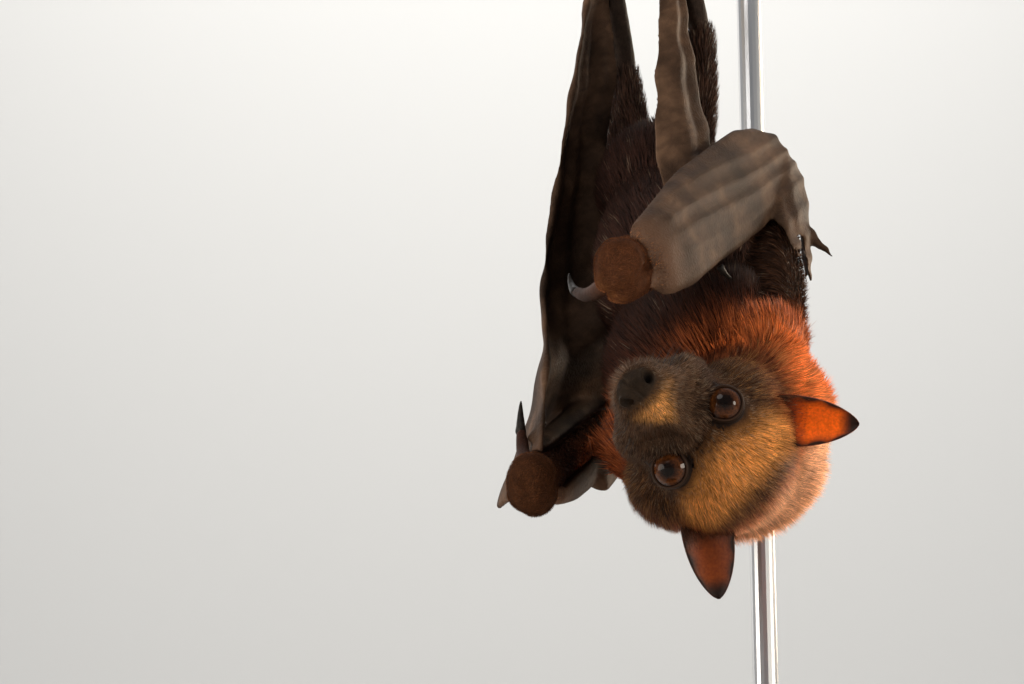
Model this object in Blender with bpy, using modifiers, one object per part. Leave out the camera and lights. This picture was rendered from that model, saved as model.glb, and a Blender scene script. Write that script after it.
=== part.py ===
"""Little red flying fox, life size, hanging by its feet from a cut branch on a display stand.

Numbers are millimetres until a mesh is made, and meshes are in metres. +Z is up, the bat faces
-Y, and the origin is the middle of the underside of the stand. "left" and "right" are the bat's.
"""

import math

import bmesh
import bpy
from mathutils import Matrix, Vector

MM = 0.001
GAP = 0.3  # space left between neighbouring parts
SOFT_GAP = 0.9  # cut round thin skin before it is smoothed, which takes up part of it

# The head: the point between the eyes, where the face looks, and its left side.
BROW = Vector((0.0, -80.0, 225.0))
FACE_AHEAD = Vector((-0.385, -0.922, 0.053))
FACE_LEFT = Vector((-0.640, 0.225, -0.736))

# The trunk: the point between the shoulders, where the tail end points, and its left side.
CHEST = Vector((6.8, -30.9, 250.7))
TAILWARD = Vector((-0.130, 0.490, 0.862))
TRUNK_LEFT = Vector((-0.695, 0.575, -0.432))
TRUNK_LENGTH = 100.0  # shoulders to hips

# The perch: where the feet hold it, and the way it runs to the bat's left.
PERCH = Vector((-20.0, 0.0, 448.0))
PERCH_LEFT = Vector((-0.77, 0.63, -0.05))
PERCH_RADIUS = 8.0

# The stand: a wooden base and one steel rod.
BASE_SIZE = (180.0, 200.0, 15.0)
BASE_BEVEL = 3.0
ROD_FOOT = Vector((30.0, 75.0, 15.0))
ROD_RADIUS = 4.0
ROD_TOP = 432.0

EYE_RADIUS = 5.6
EYE_APART = 21.8  # between the middles of the two eyeballs

# Joints of the folded wings. The folded fingers run from the wrist to "corner", turn there and
# end at "fold", and their flat side faces "outward".
WINGS = {
    "right": {
        "shoulder": Vector((24.0, -43.0, 262.0)),
        "elbow": Vector((31.6, 16.7, 326.0)),
        "wrist": Vector((-20.8, -91.8, 268.5)),
        "fingers": [
            Vector((-17.7, -89.9, 269.8)),
            Vector((-7.4, -75.9, 280.1)),
            Vector((7.5, -40.3, 304.9)),
            Vector((31.5, 9.5, 335.5)),
            Vector((34.2, -6.2, 306.0)),
            Vector((31.8, -37.4, 276.2)),
        ],
        "outward": Vector((0.81, -0.53, 0.235)),
        "thumb": Vector((-0.35, 0.93, 0.02)),
    },
    "left": {
        "shoulder": Vector((-8.0, -16.0, 236.5)),
        "elbow": Vector((-4.0, 62.0, 281.0)),
        "wrist": Vector((-44.6, -52.0, 218.8)),
        "fingers": [
            Vector((-42.0, -46.0, 220.5)),
            Vector((-38.0, -26.0, 230.0)),
            Vector((-30.0, 8.0, 246.0)),
            Vector((-12.0, 68.0, 280.0)),
            Vector((-20.0, 32.0, 252.0)),
            Vector((-24.0, 0.0, 232.0)),
        ],
        "outward": Vector((-0.80, 0.20, -0.56)),
        "thumb": Vector((-0.1, 0.79, 0.61)),
    },
}

# Half the width and half the thickness of the folded fingers and their skin, wrist to fold.
FINGER_WIDTHS = {
    "right": (8.5, 11.5, 13.5, 15.0, 15.5, 13.0, 9.5, 8.0, 3.5),
    "left": (7.0, 10.0, 11.5, 11.5, 11.0, 9.5, 7.5, 6.0, 3.0),
}
FINGER_DEPTHS = (4.0, 4.6, 4.6, 4.8, 4.8, 4.6, 4.4, 4.0, 2.4)
WRIST_SPREAD = {"right": 1.0, "left": 0.68}  # how far the wrist widens into the folded hand
FINGER_TIPS = {  # the points of the longest fingers, which stand clear of the fold
    "right": (Vector((31.5, 4.0, 322.0)), Vector((48.8, 1.0, 302.0))),
    "left": (Vector((-14.0, 56.0, 268.0)), Vector((-20.0, 62.0, 246.0))),
}

COAT = "coat_fur"
SKIN = "wing_skin"

COLOURS = {
    COAT: (0.060, 0.018, 0.007),
    SKIN: (0.045, 0.030, 0.026),
    "ear_skin": (0.270, 0.062, 0.014),
    "nose_skin": (0.030, 0.024, 0.018),
    "eye_glass": (0.030, 0.009, 0.004),
    "claw_horn": (0.012, 0.010, 0.009),
    "bark_wood": (0.190, 0.130, 0.085),
    "base_wood": (0.170, 0.080, 0.040),
    "rod_steel": (0.500, 0.500, 0.500),
}
ROUGHNESS = {"eye_glass": 0.08, "claw_horn": 0.35, "rod_steel": 0.3, "base_wood": 0.45}
METALLIC = {"rod_steel": 1.0}


class Axes:
    """The directions of a part of the body, from a place on it: ahead, to its left, and up."""

    def __init__(self, origin, ahead, left):
        self.origin = origin
        self.ahead = ahead.normalized()
        self.up = self.ahead.cross(left).normalized()
        self.left = self.up.cross(self.ahead)

    def at(self, ahead, left, up):
        return self.origin + self.ahead * ahead + self.left * left + self.up * up

    def along(self, ahead, left, up):
        return (self.at(ahead, left, up) - self.origin).normalized()

    def path(self, *places):
        """Points on the middle plane, each given as how far ahead and how far up."""
        return [self.at(ahead, 0, up) for ahead, up in places]

    def turned(self, centre, radii):
        """The matrix that makes a unit ball into a ball of these radii at this centre."""
        columns = Matrix((self.ahead, self.left, self.up)).transposed().to_4x4()
        return Matrix.Translation(centre) @ columns @ Matrix.Diagonal((*radii, 1.0))


HEAD = Axes(BROW, FACE_AHEAD, FACE_LEFT)
TRUNK = Axes(CHEST, TAILWARD, TRUNK_LEFT)  # its "up" is the belly side
FEET = Axes(PERCH, Vector((0.63, 0.77, 0.0)), PERCH_LEFT)  # its "ahead" is the back side
SIDES = {"left": 1.0, "right": -1.0}
EAR_LEAN = {"left": 1.2, "right": 0.0}  # how far each ear is drawn in and up
EYE_SINK = 2.0  # from the middle of the eyeball back to the middle of the socket's rim


def eye_place(side, sink=0.0):
    """The middle of an eyeball, or a place behind it along the way it looks."""
    return (-1.0 - 0.88 * sink, side * (EYE_APART / 2 - 0.34 * sink), -0.6 - 0.28 * sink)


# ---------------------------------------------------------------- tools


def material(name):
    """The named material, made the first time that it is asked for."""
    found = bpy.data.materials.get(name)
    if found:
        return found
    made = bpy.data.materials.new(name)
    made.use_nodes = True
    shader = made.node_tree.nodes["Principled BSDF"]
    shader.inputs["Base Color"].default_value = (*COLOURS[name], 1.0)
    shader.inputs["Roughness"].default_value = ROUGHNESS.get(name, 0.7)
    shader.inputs["Metallic"].default_value = METALLIC.get(name, 0.0)
    made.diffuse_color = (*COLOURS[name], 1.0)
    return made


def collection(name, hidden=False):
    made = bpy.data.collections.new(name)
    bpy.context.scene.collection.children.link(made)
    made.hide_render = hidden
    return made


def object_of(name, bm, look):
    """The bmesh, drawn in millimetres, as an object in metres."""
    bmesh.ops.scale(bm, vec=(MM, MM, MM), verts=bm.verts)
    bmesh.ops.recalc_face_normals(bm, faces=bm.faces)
    mesh = bpy.data.meshes.new(name)
    bm.to_mesh(mesh)
    bm.free()
    made = bpy.data.objects.new(name, mesh)
    mesh.materials.append(material(look))
    BODY.objects.link(made)
    return made


def drop(obj):
    mesh = obj.data
    bpy.data.objects.remove(obj)
    bpy.data.meshes.remove(mesh)


def bake(obj):
    """Puts the result of the object's modifiers in its mesh, and takes the modifiers off."""
    graph = bpy.context.evaluated_depsgraph_get()
    graph.update()
    mesh = bpy.data.meshes.new_from_object(obj.evaluated_get(graph))
    old = obj.data
    obj.modifiers.clear()
    obj.data = mesh
    bpy.data.meshes.remove(old)
    mesh.name = obj.name


def ball(bm, axes, centre, radii, subdivisions=3):
    bmesh.ops.create_icosphere(
        bm, subdivisions=subdivisions, radius=1.0, matrix=axes.turned(axes.at(*centre), radii)
    )


def limb(bm, path, radii, flat=None, sides=12):
    """A closed limb of round or oval sections along a path.

    A radius is one number, or (wide, thick) with the thick way along flat.
    """
    path = [Vector(point) for point in path]
    radii = [radius if isinstance(radius, tuple) else (radius, radius) for radius in radii]
    flat = Vector(flat) if flat else (path[1] - path[0]).orthogonal()
    rings = []
    for i, (point, (wide, thick)) in enumerate(zip(path, radii)):
        tangent = (path[min(i + 1, len(path) - 1)] - path[max(i - 1, 0)]).normalized()
        side = tangent.cross(flat).normalized()
        up = side.cross(tangent)
        ring = []
        for k in range(sides):
            turn = 2 * math.pi * k / sides
            offset = side * (wide * math.cos(turn)) + up * (thick * math.sin(turn))
            ring.append(bm.verts.new(point + offset))
        rings.append(ring)
    for lower, upper in zip(rings, rings[1:]):
        for k in range(sides):
            after = (k + 1) % sides
            bm.faces.new((lower[k], lower[after], upper[after], upper[k]))
    bm.faces.new(rings[0][::-1])
    bm.faces.new(rings[-1])


def rounded(start, end, first, last, steps=6, bulge=0.0):
    """The path and radii of a straight limb with round ends, swelling by bulge at its middle."""
    along = (end - start).normalized()
    path, radii = [], []
    for turn in (10, 40, 70):
        path.append(start - along * first * math.cos(math.radians(turn)))
        radii.append(first * math.sin(math.radians(turn)))
    for i in range(steps + 1):
        share = i / steps
        path.append(start.lerp(end, share))
        radii.append(first + (last - first) * share + bulge * math.sin(math.pi * share))
    for turn in (70, 40, 10):
        path.append(end + along * last * math.cos(math.radians(turn)))
        radii.append(last * math.sin(math.radians(turn)))
    return path, radii


def curve_through(points, steps):
    """Points along a smooth curve that passes through the given ones."""
    padded = [points[0] * 2 - points[1], *points, points[-1] * 2 - points[-2]]
    found = []
    for before, start, end, after in zip(padded, padded[1:], padded[2:], padded[3:]):
        for i in range(steps):
            t = i / steps
            found.append(
                0.5
                * (
                    start * 2
                    + (end - before) * t
                    + (before * 2 - start * 5 + end * 4 - after) * t**2
                    + (start * 3 - before - end * 3 + after) * t**3
                )
            )
    found.append(points[-1])
    return found


def blended(values, count):
    """Numbers or pairs spread evenly over count steps, each step a mix of its two neighbours."""
    found = []
    for i in range(count):
        place = i / (count - 1) * (len(values) - 1)
        low = min(int(place), len(values) - 2)
        share = place - low
        first, second = values[low], values[low + 1]
        found.append(tuple(a + (b - a) * share for a, b in zip(first, second)))
    return found


def fused(name, bm, look, voxel, faces, smooth=4):
    """Overlapping closed shapes made one soft body of about this many triangles."""
    return softened(object_of(name, bm, look), voxel, faces, smooth)


def softened(made, voxel, faces, smooth):
    remesh = made.modifiers.new("remesh", "REMESH")
    remesh.mode = "VOXEL"
    remesh.voxel_size = voxel * MM
    if smooth:
        soften = made.modifiers.new("soften", "SMOOTH")
        soften.factor = 0.5
        soften.iterations = smooth
    bake(made)
    thin = made.modifiers.new("thin", "DECIMATE")
    thin.ratio = min(1.0, faces / (2.0 * len(made.data.polygons)))
    bake(made)
    return made


def half(obj, name, point, normal):
    """A copy of the part of the object that lies behind a plane, closed where it was cut."""
    bm = bmesh.new()
    bm.from_mesh(obj.data)
    bmesh.ops.bisect_plane(
        bm,
        geom=[*bm.verts, *bm.edges, *bm.faces],
        dist=1e-7,
        plane_co=point * MM,
        plane_no=normal,
        clear_outer=True,
    )
    rim = [edge for edge in bm.edges if edge.is_boundary]
    bmesh.ops.holes_fill(bm, edges=rim, sides=0)
    bmesh.ops.triangulate(bm, faces=[face for face in bm.faces if len(face.verts) > 4])
    mesh = bpy.data.meshes.new(name)
    bm.to_mesh(mesh)
    bm.free()
    made = bpy.data.objects.new(name, mesh)
    mesh.materials.append(obj.data.materials[0])
    BODY.objects.link(made)
    return made


def parted(obj, names, point, normal):
    """Cuts the object in two at a plane, with a thin gap: the part ahead of it, then the rest."""
    normal = normal.normalized()
    step = normal * (GAP / 2)
    front = half(obj, names[0], point + step, -normal)
    back = half(obj, names[1], point - step, normal)
    drop(obj)
    return front, back


def box_of(obj):
    corners = [obj.matrix_world @ Vector(corner) for corner in obj.bound_box]
    low = [min(corner[i] for corner in corners) for i in range(3)]
    high = [max(corner[i] for corner in corners) for i in range(3)]
    return low, high


def near(first, second, reach=1.0):
    (low_a, high_a), (low_b, high_b) = box_of(first), box_of(second)
    return all(
        low_a[i] < high_b[i] + reach * MM and low_b[i] < high_a[i] + reach * MM for i in range(3)
    )


def grown(obj, by):
    """A copy of the object whose surface stands out by this much, to cut a neighbour with."""
    bm = bmesh.new()
    bm.from_mesh(obj.data)
    bm.normal_update()
    moves = [(vert, vert.normal * by * MM) for vert in bm.verts]
    for vert, move in moves:
        vert.co += move
    mesh = bpy.data.meshes.new("cutter")
    bm.to_mesh(mesh)
    bm.free()
    made = bpy.data.objects.new("cutter", mesh)
    CUTTERS.objects.link(made)
    made.display_type = "WIRE"
    return made


def keep_largest(obj):
    """Drops the scraps that a cut leaves: all but the piece with the most faces."""
    bm = bmesh.new()
    bm.from_mesh(obj.data)
    left = set(bm.faces)
    pieces = []
    while left:
        stack = [left.pop()]
        piece = set(stack)
        while stack:
            for edge in stack.pop().edges:
                for face in edge.link_faces:
                    if face in left:
                        left.remove(face)
                        piece.add(face)
                        stack.append(face)
        pieces.append(piece)
    largest = max(pieces, key=len)
    bmesh.ops.delete(bm, geom=[face for face in bm.faces if face not in largest], context="FACES")
    bm.to_mesh(obj.data)
    bm.free()


def clear_of(obj, others, gap=GAP * 1.6, solver="EXACT"):
    """Cuts the object back from each neighbour that it meets.

    The cutter grows by more than GAP, because its sharp edges stand out less than its faces.
    """
    for other in others:
        if other is obj or not near(obj, other):
            continue
        cutter = grown(other, gap)
        cut = obj.modifiers.new("cut", "BOOLEAN")
        cut.operation = "DIFFERENCE"
        cut.solver = solver
        cut.object = cutter
        bake(obj)
        drop(cutter)
    keep_largest(obj)
    return obj


# ---------------------------------------------------------------- head, neck and trunk


def core_shapes(bm):
    """The head, neck and trunk to the tips of the coat, as balls and tapering limbs."""
    ball(bm, HEAD, (-21.0, 0.0, 1.0), (22.0, 21.5, 18.5))  # braincase
    ball(bm, HEAD, (-10.0, 0.0, -3.5), (17.0, 18.0, 14.5))  # brow and cheekbones
    for side in SIDES.values():
        ball(bm, HEAD, (-21.0, side * 13.0, -7.5), (15.0, 14.5, 15.0))  # cheek fur
        ball(bm, HEAD, (1.0, side * 9.5, -13.0), (12.5, 7.6, 6.6))  # jowl
        ball(bm, HEAD, eye_place(side, EYE_SINK), (EYE_RADIUS + 1.0,) * 3)  # rim of the socket
    limb(
        bm,
        HEAD.path((-14, -3), (-2, -5), (8, -8.5), (17, -11.5), (25, -13)),
        [(17.0, 13.0), (14.6, 10.6), (13.0, 8.8), (10.3, 7.1), (7.4, 5.2)],
        flat=HEAD.up,
        sides=16,
    )
    ball(bm, HEAD, (24.0, 0.0, -12.6), (5.2, 6.8, 5.2))  # nose
    limb(
        bm,
        HEAD.path((-16, -12), (-4, -15.5), (8, -17.5), (16, -18.6), (20, -18.6)),
        [(16.5, 9.0), (14.0, 7.2), (10.6, 5.4), (7.6, 4.2), (4.6, 2.8)],
        flat=HEAD.up,
        sides=16,
    )
    ball(bm, TRUNK, (-14.0, 0.0, -4.0), (24.0, 34.0, 26.0))  # ruff round the neck
    ball(bm, TRUNK, (-26.0, 0.0, -14.0), (15.0, 22.0, 15.5))  # nape
    for side in SIDES.values():
        ball(bm, TRUNK, (-4.0, side * 25.0, 4.0), (13.0, 13.0, 13.0))  # fur over the shoulder
    ball(bm, TRUNK, (12.0, 0.0, 0.0), (34.0, 31.0, 27.0))  # chest
    ball(bm, TRUNK, (52.0, 0.0, 0.0), (42.0, 27.0, 25.0))  # belly
    ball(bm, TRUNK, (92.0, 0.0, -3.0), (27.0, 22.0, 21.0))  # rump


def make_core(eyes):
    bm = bmesh.new()
    core_shapes(bm)
    core = fused("core", bm, COAT, 1.3, 1320, smooth=5)
    for eye in eyes:
        clear_of(core, [eye])
    chin = (CHEST - HEAD.at(-20, 0, 0)).normalized()
    head, rest = parted(core, ("head_whole", "rest"), HEAD.at(-20, 0, 0) + chin * 21, -chin)
    neck, rest = parted(rest, ("neck", "rest"), TRUNK.at(-12, 0, 0), -TRUNK.ahead - chin * 0.6)
    chest, rest = parted(rest, ("chest", "rest"), TRUNK.at(34, 0, 0), -TRUNK.ahead)
    belly, rump = parted(rest, ("belly", "rump"), TRUNK.at(82, 0, 0), -TRUNK.ahead)
    snout, head = parted(head, ("snout", "head"), HEAD.at(6.5, 0, 0), HEAD.ahead)
    tip, snout = parted(snout, ("tip", "snout_back"), HEAD.at(23.0, 0, -10), HEAD.along(1, 0, -0.25))
    nose, lip = parted(tip, ("nose", "lip"), HEAD.at(24, 0, -16.0), HEAD.up)
    drop(lip)
    muzzle, jaw = parted(snout, ("muzzle", "jaw"), HEAD.at(8, 0, -14.6), HEAD.along(0.16, 0, 1))
    nose.data.materials[0] = material("nose_skin")
    return [head, muzzle, nose, jaw, neck, chest, belly, rump]


def make_eye(side):
    bm = bmesh.new()
    bmesh.ops.create_uvsphere(
        bm,
        u_segments=12,
        v_segments=7,
        radius=1.0,
        matrix=HEAD.turned(HEAD.at(*eye_place(SIDES[side])), (EYE_RADIUS,) * 3),
    )
    return object_of(f"eye_{side}", bm, "eye_glass")


def make_ear(side):
    """A pointed leaf, hollow towards the front, with its foot in the fur of the head."""
    sign = SIDES[side]
    lean = EAR_LEAN[side]
    foot = HEAD.at(-22.5, sign * (15.5 - lean), 3.5 + lean)
    tip = HEAD.at(-31.5, sign * (31.5 - lean), 20.0 + lean)
    along = (tip - foot).normalized()
    face = HEAD.along(0.86, -sign * 0.02, 0.42)  # the way the hollow looks
    across = along.cross(face).normalized()
    face = across.cross(along)
    length = (tip - foot).length
    rows, columns = 8, 6
    widths = ((6.6,), (7.4,), (7.9,), (7.8,), (7.2,), (6.2,), (4.4,), (1.3,))
    bm = bmesh.new()
    grid = []
    for i, (width,) in enumerate(blended(widths, rows)):
        share = i / (rows - 1)
        cup = 3.6 * (1.0 - share) + 0.8
        row = []
        for k in range(columns + 1):
            across_share = 2.0 * k / columns - 1.0
            back = cup * (across_share**2 - 0.6)
            row.append(
                bm.verts.new(
                    foot + along * (length * share) + across * (width * across_share) + face * back
                )
            )
        grid.append(row)
    for lower, upper in zip(grid, grid[1:]):
        for k in range(columns):
            bm.faces.new((lower[k], lower[k + 1], upper[k + 1], upper[k]))
    ear = object_of(f"ear_{side}", bm, "ear_skin")
    thicken(ear, 1.3)
    return ear


def thicken(obj, by):
    solid = obj.modifiers.new("thicken", "SOLIDIFY")
    solid.thickness = by * MM
    solid.offset = 0.0
    bake(obj)


# ---------------------------------------------------------------- wings


def make_upper_arm(side, joints):
    bm = bmesh.new()
    path, radii = rounded(joints["shoulder"], joints["elbow"], 11.0, 6.5, bulge=1.0)
    limb(bm, path, radii, sides=16)
    return fused(f"upper_arm_{side}", bm, COAT, 1.2, 150)


def make_forearm(side, joints):
    """The forearm with the narrow web along its front edge, and the wrist at its end."""
    elbow, wrist = joints["elbow"], joints["wrist"]
    bm = bmesh.new()
    path, radii = rounded(elbow, wrist, 6.0, 4.2, bulge=0.6)
    limb(bm, path, radii, sides=14)
    along = (wrist - elbow).normalized()
    knob = Axes(wrist, along, Vector((0.0, -0.3, 1.0)))
    for up in (-1.6, 1.6):
        ball(bm, knob, (0.0, up, 0.0), (8.6, 8.2, 7.6))
    wedge = [wrist - along * reach for reach in (-4.0, 4.0, 14.0, 26.0, 40.0)]
    wide = WRIST_SPREAD[side]
    sizes = [(6.5 * wide, 5.5), (9.2 * wide, 7.0), (9.0 * wide, 6.4), (7.5 * wide, 5.4), (4.8, 4.8)]
    limb(bm, wedge, sizes, flat=joints["outward"])
    whole = fused("arm_whole", bm, COAT, 1.0, 240)
    names = (f"wrist_{side}", f"forearm_{side}")
    return parted(whole, names, wrist - along * 11.0, along)


def make_fingers(side, joints):
    """The bundle of folded fingers with the wing skin between them, bent round the elbow."""
    path = curve_through(joints["fingers"], 6)
    sizes = list(zip(FINGER_WIDTHS[side], FINGER_DEPTHS))
    bm = bmesh.new()
    limb(bm, path, blended(sizes, len(path)), flat=joints["outward"], sides=16)
    root, tip = FINGER_TIPS[side]
    limb(bm, [root, root.lerp(tip, 0.5), tip], [3.0, 2.2, 0.9], sides=10)
    return fused(f"finger_fold_{side}", bm, SKIN, 0.8, 2000, smooth=3)


def make_thumb(side, joints):
    """The free thumb with its claw, and the claw as a part of its own."""
    wrist = joints["wrist"]
    reach = joints["thumb"].normalized()
    side_way = reach.cross(Vector((0.0, 0.0, 1.0))).normalized()
    bend = reach.cross(side_way)
    knuckles = [
        wrist + reach * 6.0,
        wrist + reach * 15.0 + bend * 1.0,
        wrist + reach * 25.0 + bend * 0.0,
        wrist + reach * 32.0 - bend * 3.0,
    ]
    path = curve_through(knuckles, 2)
    bm = bmesh.new()
    radii = [3.2 - 1.2 * i / (len(path) - 1) for i in range(len(path))]
    limb(bm, path, radii, sides=8)
    thumb = object_of(f"thumb_{side}", bm, SKIN)
    tip = path[-1] + (path[-1] - path[-2]).normalized() * GAP
    claw = make_claw(f"thumb_claw_{side}", tip, reach - bend * 0.4, -bend, 8.0, 1.7)
    return thumb, claw


def make_index_claw(side, joints):
    """The small claw at the tip of the second finger, on the front edge of the folded wing."""
    start, end = joints["fingers"][1:3]
    along = (end - start).normalized()
    edge = along.cross(joints["outward"]).normalized()
    root = start.lerp(end, 0.6) + edge * (FINGER_WIDTHS[side][2] + 0.6) + joints["outward"] * 1.0
    return make_claw(f"index_claw_{side}", root, edge, along, 6.0, 1.2)


def make_claw(name, root, along, curl, length, radius):
    """A hooked claw: a tapering horn that bends from along towards curl."""
    along, curl = along.normalized(), curl.normalized()
    steps = 4
    path, radii = [], []
    for i in range(steps + 1):
        share = i / steps
        turn = share * math.radians(75)
        path.append(
            root
            + along * (length * 0.8 * math.sin(turn))
            + curl * (length * 0.8 * (1.0 - math.cos(turn)))
        )
        radii.append(radius * (1.0 - share) ** 0.8 + 0.25)
    bm = bmesh.new()
    limb(bm, path, radii, flat=along.cross(curl), sides=5)
    return object_of(name, bm, "claw_horn")


def make_membrane(side, joints, ankle):
    """The wing skin between the forearm and the ankle, gathered along the flank in soft folds."""
    sign = SIDES[side]
    elbow, wrist = joints["elbow"], joints["wrist"]
    rows, columns = 18, 12
    wave, folds = 1.4, 3.0
    flank = [
        elbow,
        TRUNK.at(62, sign * 20, -8),
        TRUNK.at(96, sign * 14, -4),
        ankle,
    ]
    edge = [
        wrist + (elbow - wrist).normalized() * 8.0,
        TRUNK.at(20, sign * 29, 34),
        TRUNK.at(62, sign * 23, 32),
        ankle + (wrist - ankle).normalized() * 6.0,
    ]
    flank = curve_through(flank, 6)
    edge = curve_through(edge, 6)
    out = joints["outward"].normalized()
    bm = bmesh.new()
    grid = []
    for i in range(rows + 1):
        share = i / rows
        inner = flank[round(share * (len(flank) - 1))]
        outer = edge[round(share * (len(edge) - 1))]
        away = (TRUNK.left * sign + out * 0.5).normalized()
        swell = (inner - outer).length * 0.30 * (1.0 - share * 0.5)
        row = []
        for k in range(columns + 1):
            reach = k / columns
            lift = swell * math.sin(math.pi * reach)
            ripple = wave * math.sin(2 * math.pi * folds * reach) * math.sin(math.pi * reach)
            row.append(bm.verts.new(inner.lerp(outer, reach) + away * (lift + ripple)))
        grid.append(row)
    for lower, upper in zip(grid, grid[1:]):
        for k in range(columns):
            bm.faces.new((lower[k], lower[k + 1], upper[k + 1], upper[k]))
    sheet = object_of(f"wing_web_{side}", bm, SKIN)
    thicken(sheet, 1.6)
    return softened(sheet, 0.55, 3000, 1)


# ---------------------------------------------------------------- legs


def leg_joints(side):
    sign = SIDES[side]
    hip = TRUNK.at(TRUNK_LENGTH - 4, sign * 12, -2)
    ankle = FEET.at(12.0, sign * 13.0, -23.0)
    knee = hip.lerp(ankle, 0.46) + FEET.left * (sign * 3.0) + FEET.ahead * 9.0
    return hip, knee, ankle


def make_leg(side):
    hip, knee, ankle = leg_joints(side)
    bm = bmesh.new()
    path, radii = rounded(hip, knee, 9.0, 5.5, bulge=1.0)
    limb(bm, path, radii, sides=12)
    thigh = fused(f"thigh_{side}", bm, COAT, 1.1, 110)
    bm = bmesh.new()
    path, radii = rounded(knee, ankle, 4.6, 3.2, bulge=0.4)
    limb(bm, path, radii, sides=12)
    shin = fused(f"shin_{side}", bm, SKIN, 0.9, 110)
    return thigh, shin


def toe_point(sign, toe, turn, reach):
    """A place round the perch: turn is 0 at its back side and 90 degrees on top."""
    spread = sign * 13.0 + toe * (2.9 + 0.004 * turn)
    angle = math.radians(turn)
    return FEET.at(reach * math.cos(angle), spread, reach * math.sin(angle))


def make_foot(side):
    """The foot with its five toes hooked over the perch, and the five claws."""
    sign = SIDES[side]
    _, _, ankle = leg_joints(side)
    bm = bmesh.new()
    sole = [ankle, FEET.at(12.6, sign * 13.0, -12.0), FEET.at(12.0, sign * 13.0, -2.0)]
    limb(bm, sole, [(3.4, 3.2), (5.6, 2.9), (6.4, 2.3)], flat=FEET.ahead, sides=12)
    ball(bm, FEET, (12.0, sign * 13.0, -2.0), (2.4, 6.6, 4.0))
    claws = []
    for toe in range(-2, 3):
        longest = 84.0 - 5.0 * abs(toe)
        turns = [-14.0 + (longest + 14.0) * i / 6 for i in range(7)]
        path = [toe_point(sign, toe, turn, PERCH_RADIUS + 2.1) for turn in turns]
        limb(bm, path, [1.9, 1.8, 1.7, 1.7, 1.6, 1.5, 1.2], sides=8)
        root = toe_point(sign, toe, longest + 3.0, PERCH_RADIUS + 2.3)
        ahead = toe_point(sign, toe, longest + 30.0, PERCH_RADIUS + 3.6) - root
        down = toe_point(sign, toe, longest + 40.0, 0.0) - root
        name = f"toe_claw_{side}_{toe + 3}"
        claws.append(make_claw(name, root, ahead, down, 8.0, 1.1))
    foot = fused(f"foot_{side}", bm, SKIN, 0.5, 300, smooth=2)
    return foot, claws


# ---------------------------------------------------------------- perch and stand


def make_perch():
    """A cut length of branch with a side branch that the rod carries."""
    bm = bmesh.new()
    start, end = FEET.at(2.0, -46.0, 0.5), FEET.at(-2.0, 66.0, -1.0)
    waist = [start, FEET.at(0, -24, 0), FEET.at(0, 0, 0), FEET.at(0, 24, 0), end]
    limb(bm, waist, [7.4, 7.8, PERCH_RADIUS, 8.1, 8.8], sides=14)
    fork = FEET.at(-1.0, 44.0, 0.0)
    hold = Vector((ROD_FOOT.x, ROD_FOOT.y, ROD_TOP + 2.0))
    past = hold + (hold - fork).normalized() * 14.0
    bow = fork.lerp(hold, 0.5) + Vector((0.0, 8.0, -3.0))
    path = curve_through([fork, bow, hold, past], 4)
    limb(bm, path, [7.2 - 1.0 * i / (len(path) - 1) for i in range(len(path))], sides=14)
    return fused("perch_branch", bm, "bark_wood", 1.0, 290, smooth=2)


def make_rod():
    bm = bmesh.new()
    foot = Vector((ROD_FOOT.x, ROD_FOOT.y, BASE_SIZE[2] + GAP))
    top = Vector((ROD_FOOT.x, ROD_FOOT.y, ROD_TOP))
    limb(bm, [foot, top], [ROD_RADIUS, ROD_RADIUS], sides=20)
    return object_of("stand_rod", bm, "rod_steel")


def make_base():
    bm = bmesh.new()
    width, depth, height = BASE_SIZE
    place = Matrix.Translation((0.0, 0.0, height / 2)) @ Matrix.Diagonal((width, depth, height, 1.0))
    bmesh.ops.create_cube(bm, size=1.0, matrix=place)
    upright = [edge for edge in bm.edges if abs(edge.verts[0].co.z - edge.verts[1].co.z) > 1.0]
    bmesh.ops.bevel(bm, geom=upright, offset=12.0, segments=4, affect="EDGES", profile=0.5)
    rim = [edge for edge in bm.edges if min(vert.co.z for vert in edge.verts) > height - 0.1]
    bmesh.ops.bevel(bm, geom=rim, offset=BASE_BEVEL, segments=2, affect="EDGES", profile=0.5)
    return object_of("stand_base", bm, "base_wood")


# ---------------------------------------------------------------- the whole


def build():
    eyes = [make_eye(side) for side in SIDES]
    placed = [*eyes, *make_core(eyes)]
    head = next(obj for obj in placed if obj.name == "head")
    for side in SIDES:
        placed.append(clear_of(make_ear(side), [head]))
    perch = clear_of(make_perch(), [make_rod()])
    placed.append(perch)
    for side in SIDES:
        foot, claws = make_foot(side)
        thigh, shin = make_leg(side)
        for made in (foot, *claws, thigh, shin):
            placed.append(clear_of(made, placed))
    for side, joints in WINGS.items():
        upper = make_upper_arm(side, joints)
        wrist, forearm = make_forearm(side, joints)
        fingers = make_fingers(side, joints)
        thumb, claw = make_thumb(side, joints)
        _, _, ankle = leg_joints(side)
        web = make_membrane(side, joints, ankle)
        for made in (upper, forearm, wrist, thumb, claw):
            placed.append(clear_of(made, placed))
        for made, faces in ((fingers, 270), (web, 450)):
            # The exact solver loses these thin bodies where a cutter grazes them.
            clear_of(made, placed, SOFT_GAP, solver="MANIFOLD")
            softened(made, 0.5, faces, 1)
            placed.append(clear_of(made, placed, solver="MANIFOLD"))
        placed.append(clear_of(make_index_claw(side, joints), placed, solver="MANIFOLD"))
    make_base()
    for obj in BODY.objects:
        obj.data.shade_smooth()
        obj.data.set_sharp_from_angle(angle=math.radians(50))


for leftover in list(bpy.data.objects):
    bpy.data.objects.remove(leftover)
BODY = collection("flying_fox")
CUTTERS = collection("cutters", hidden=True)
build()
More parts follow.
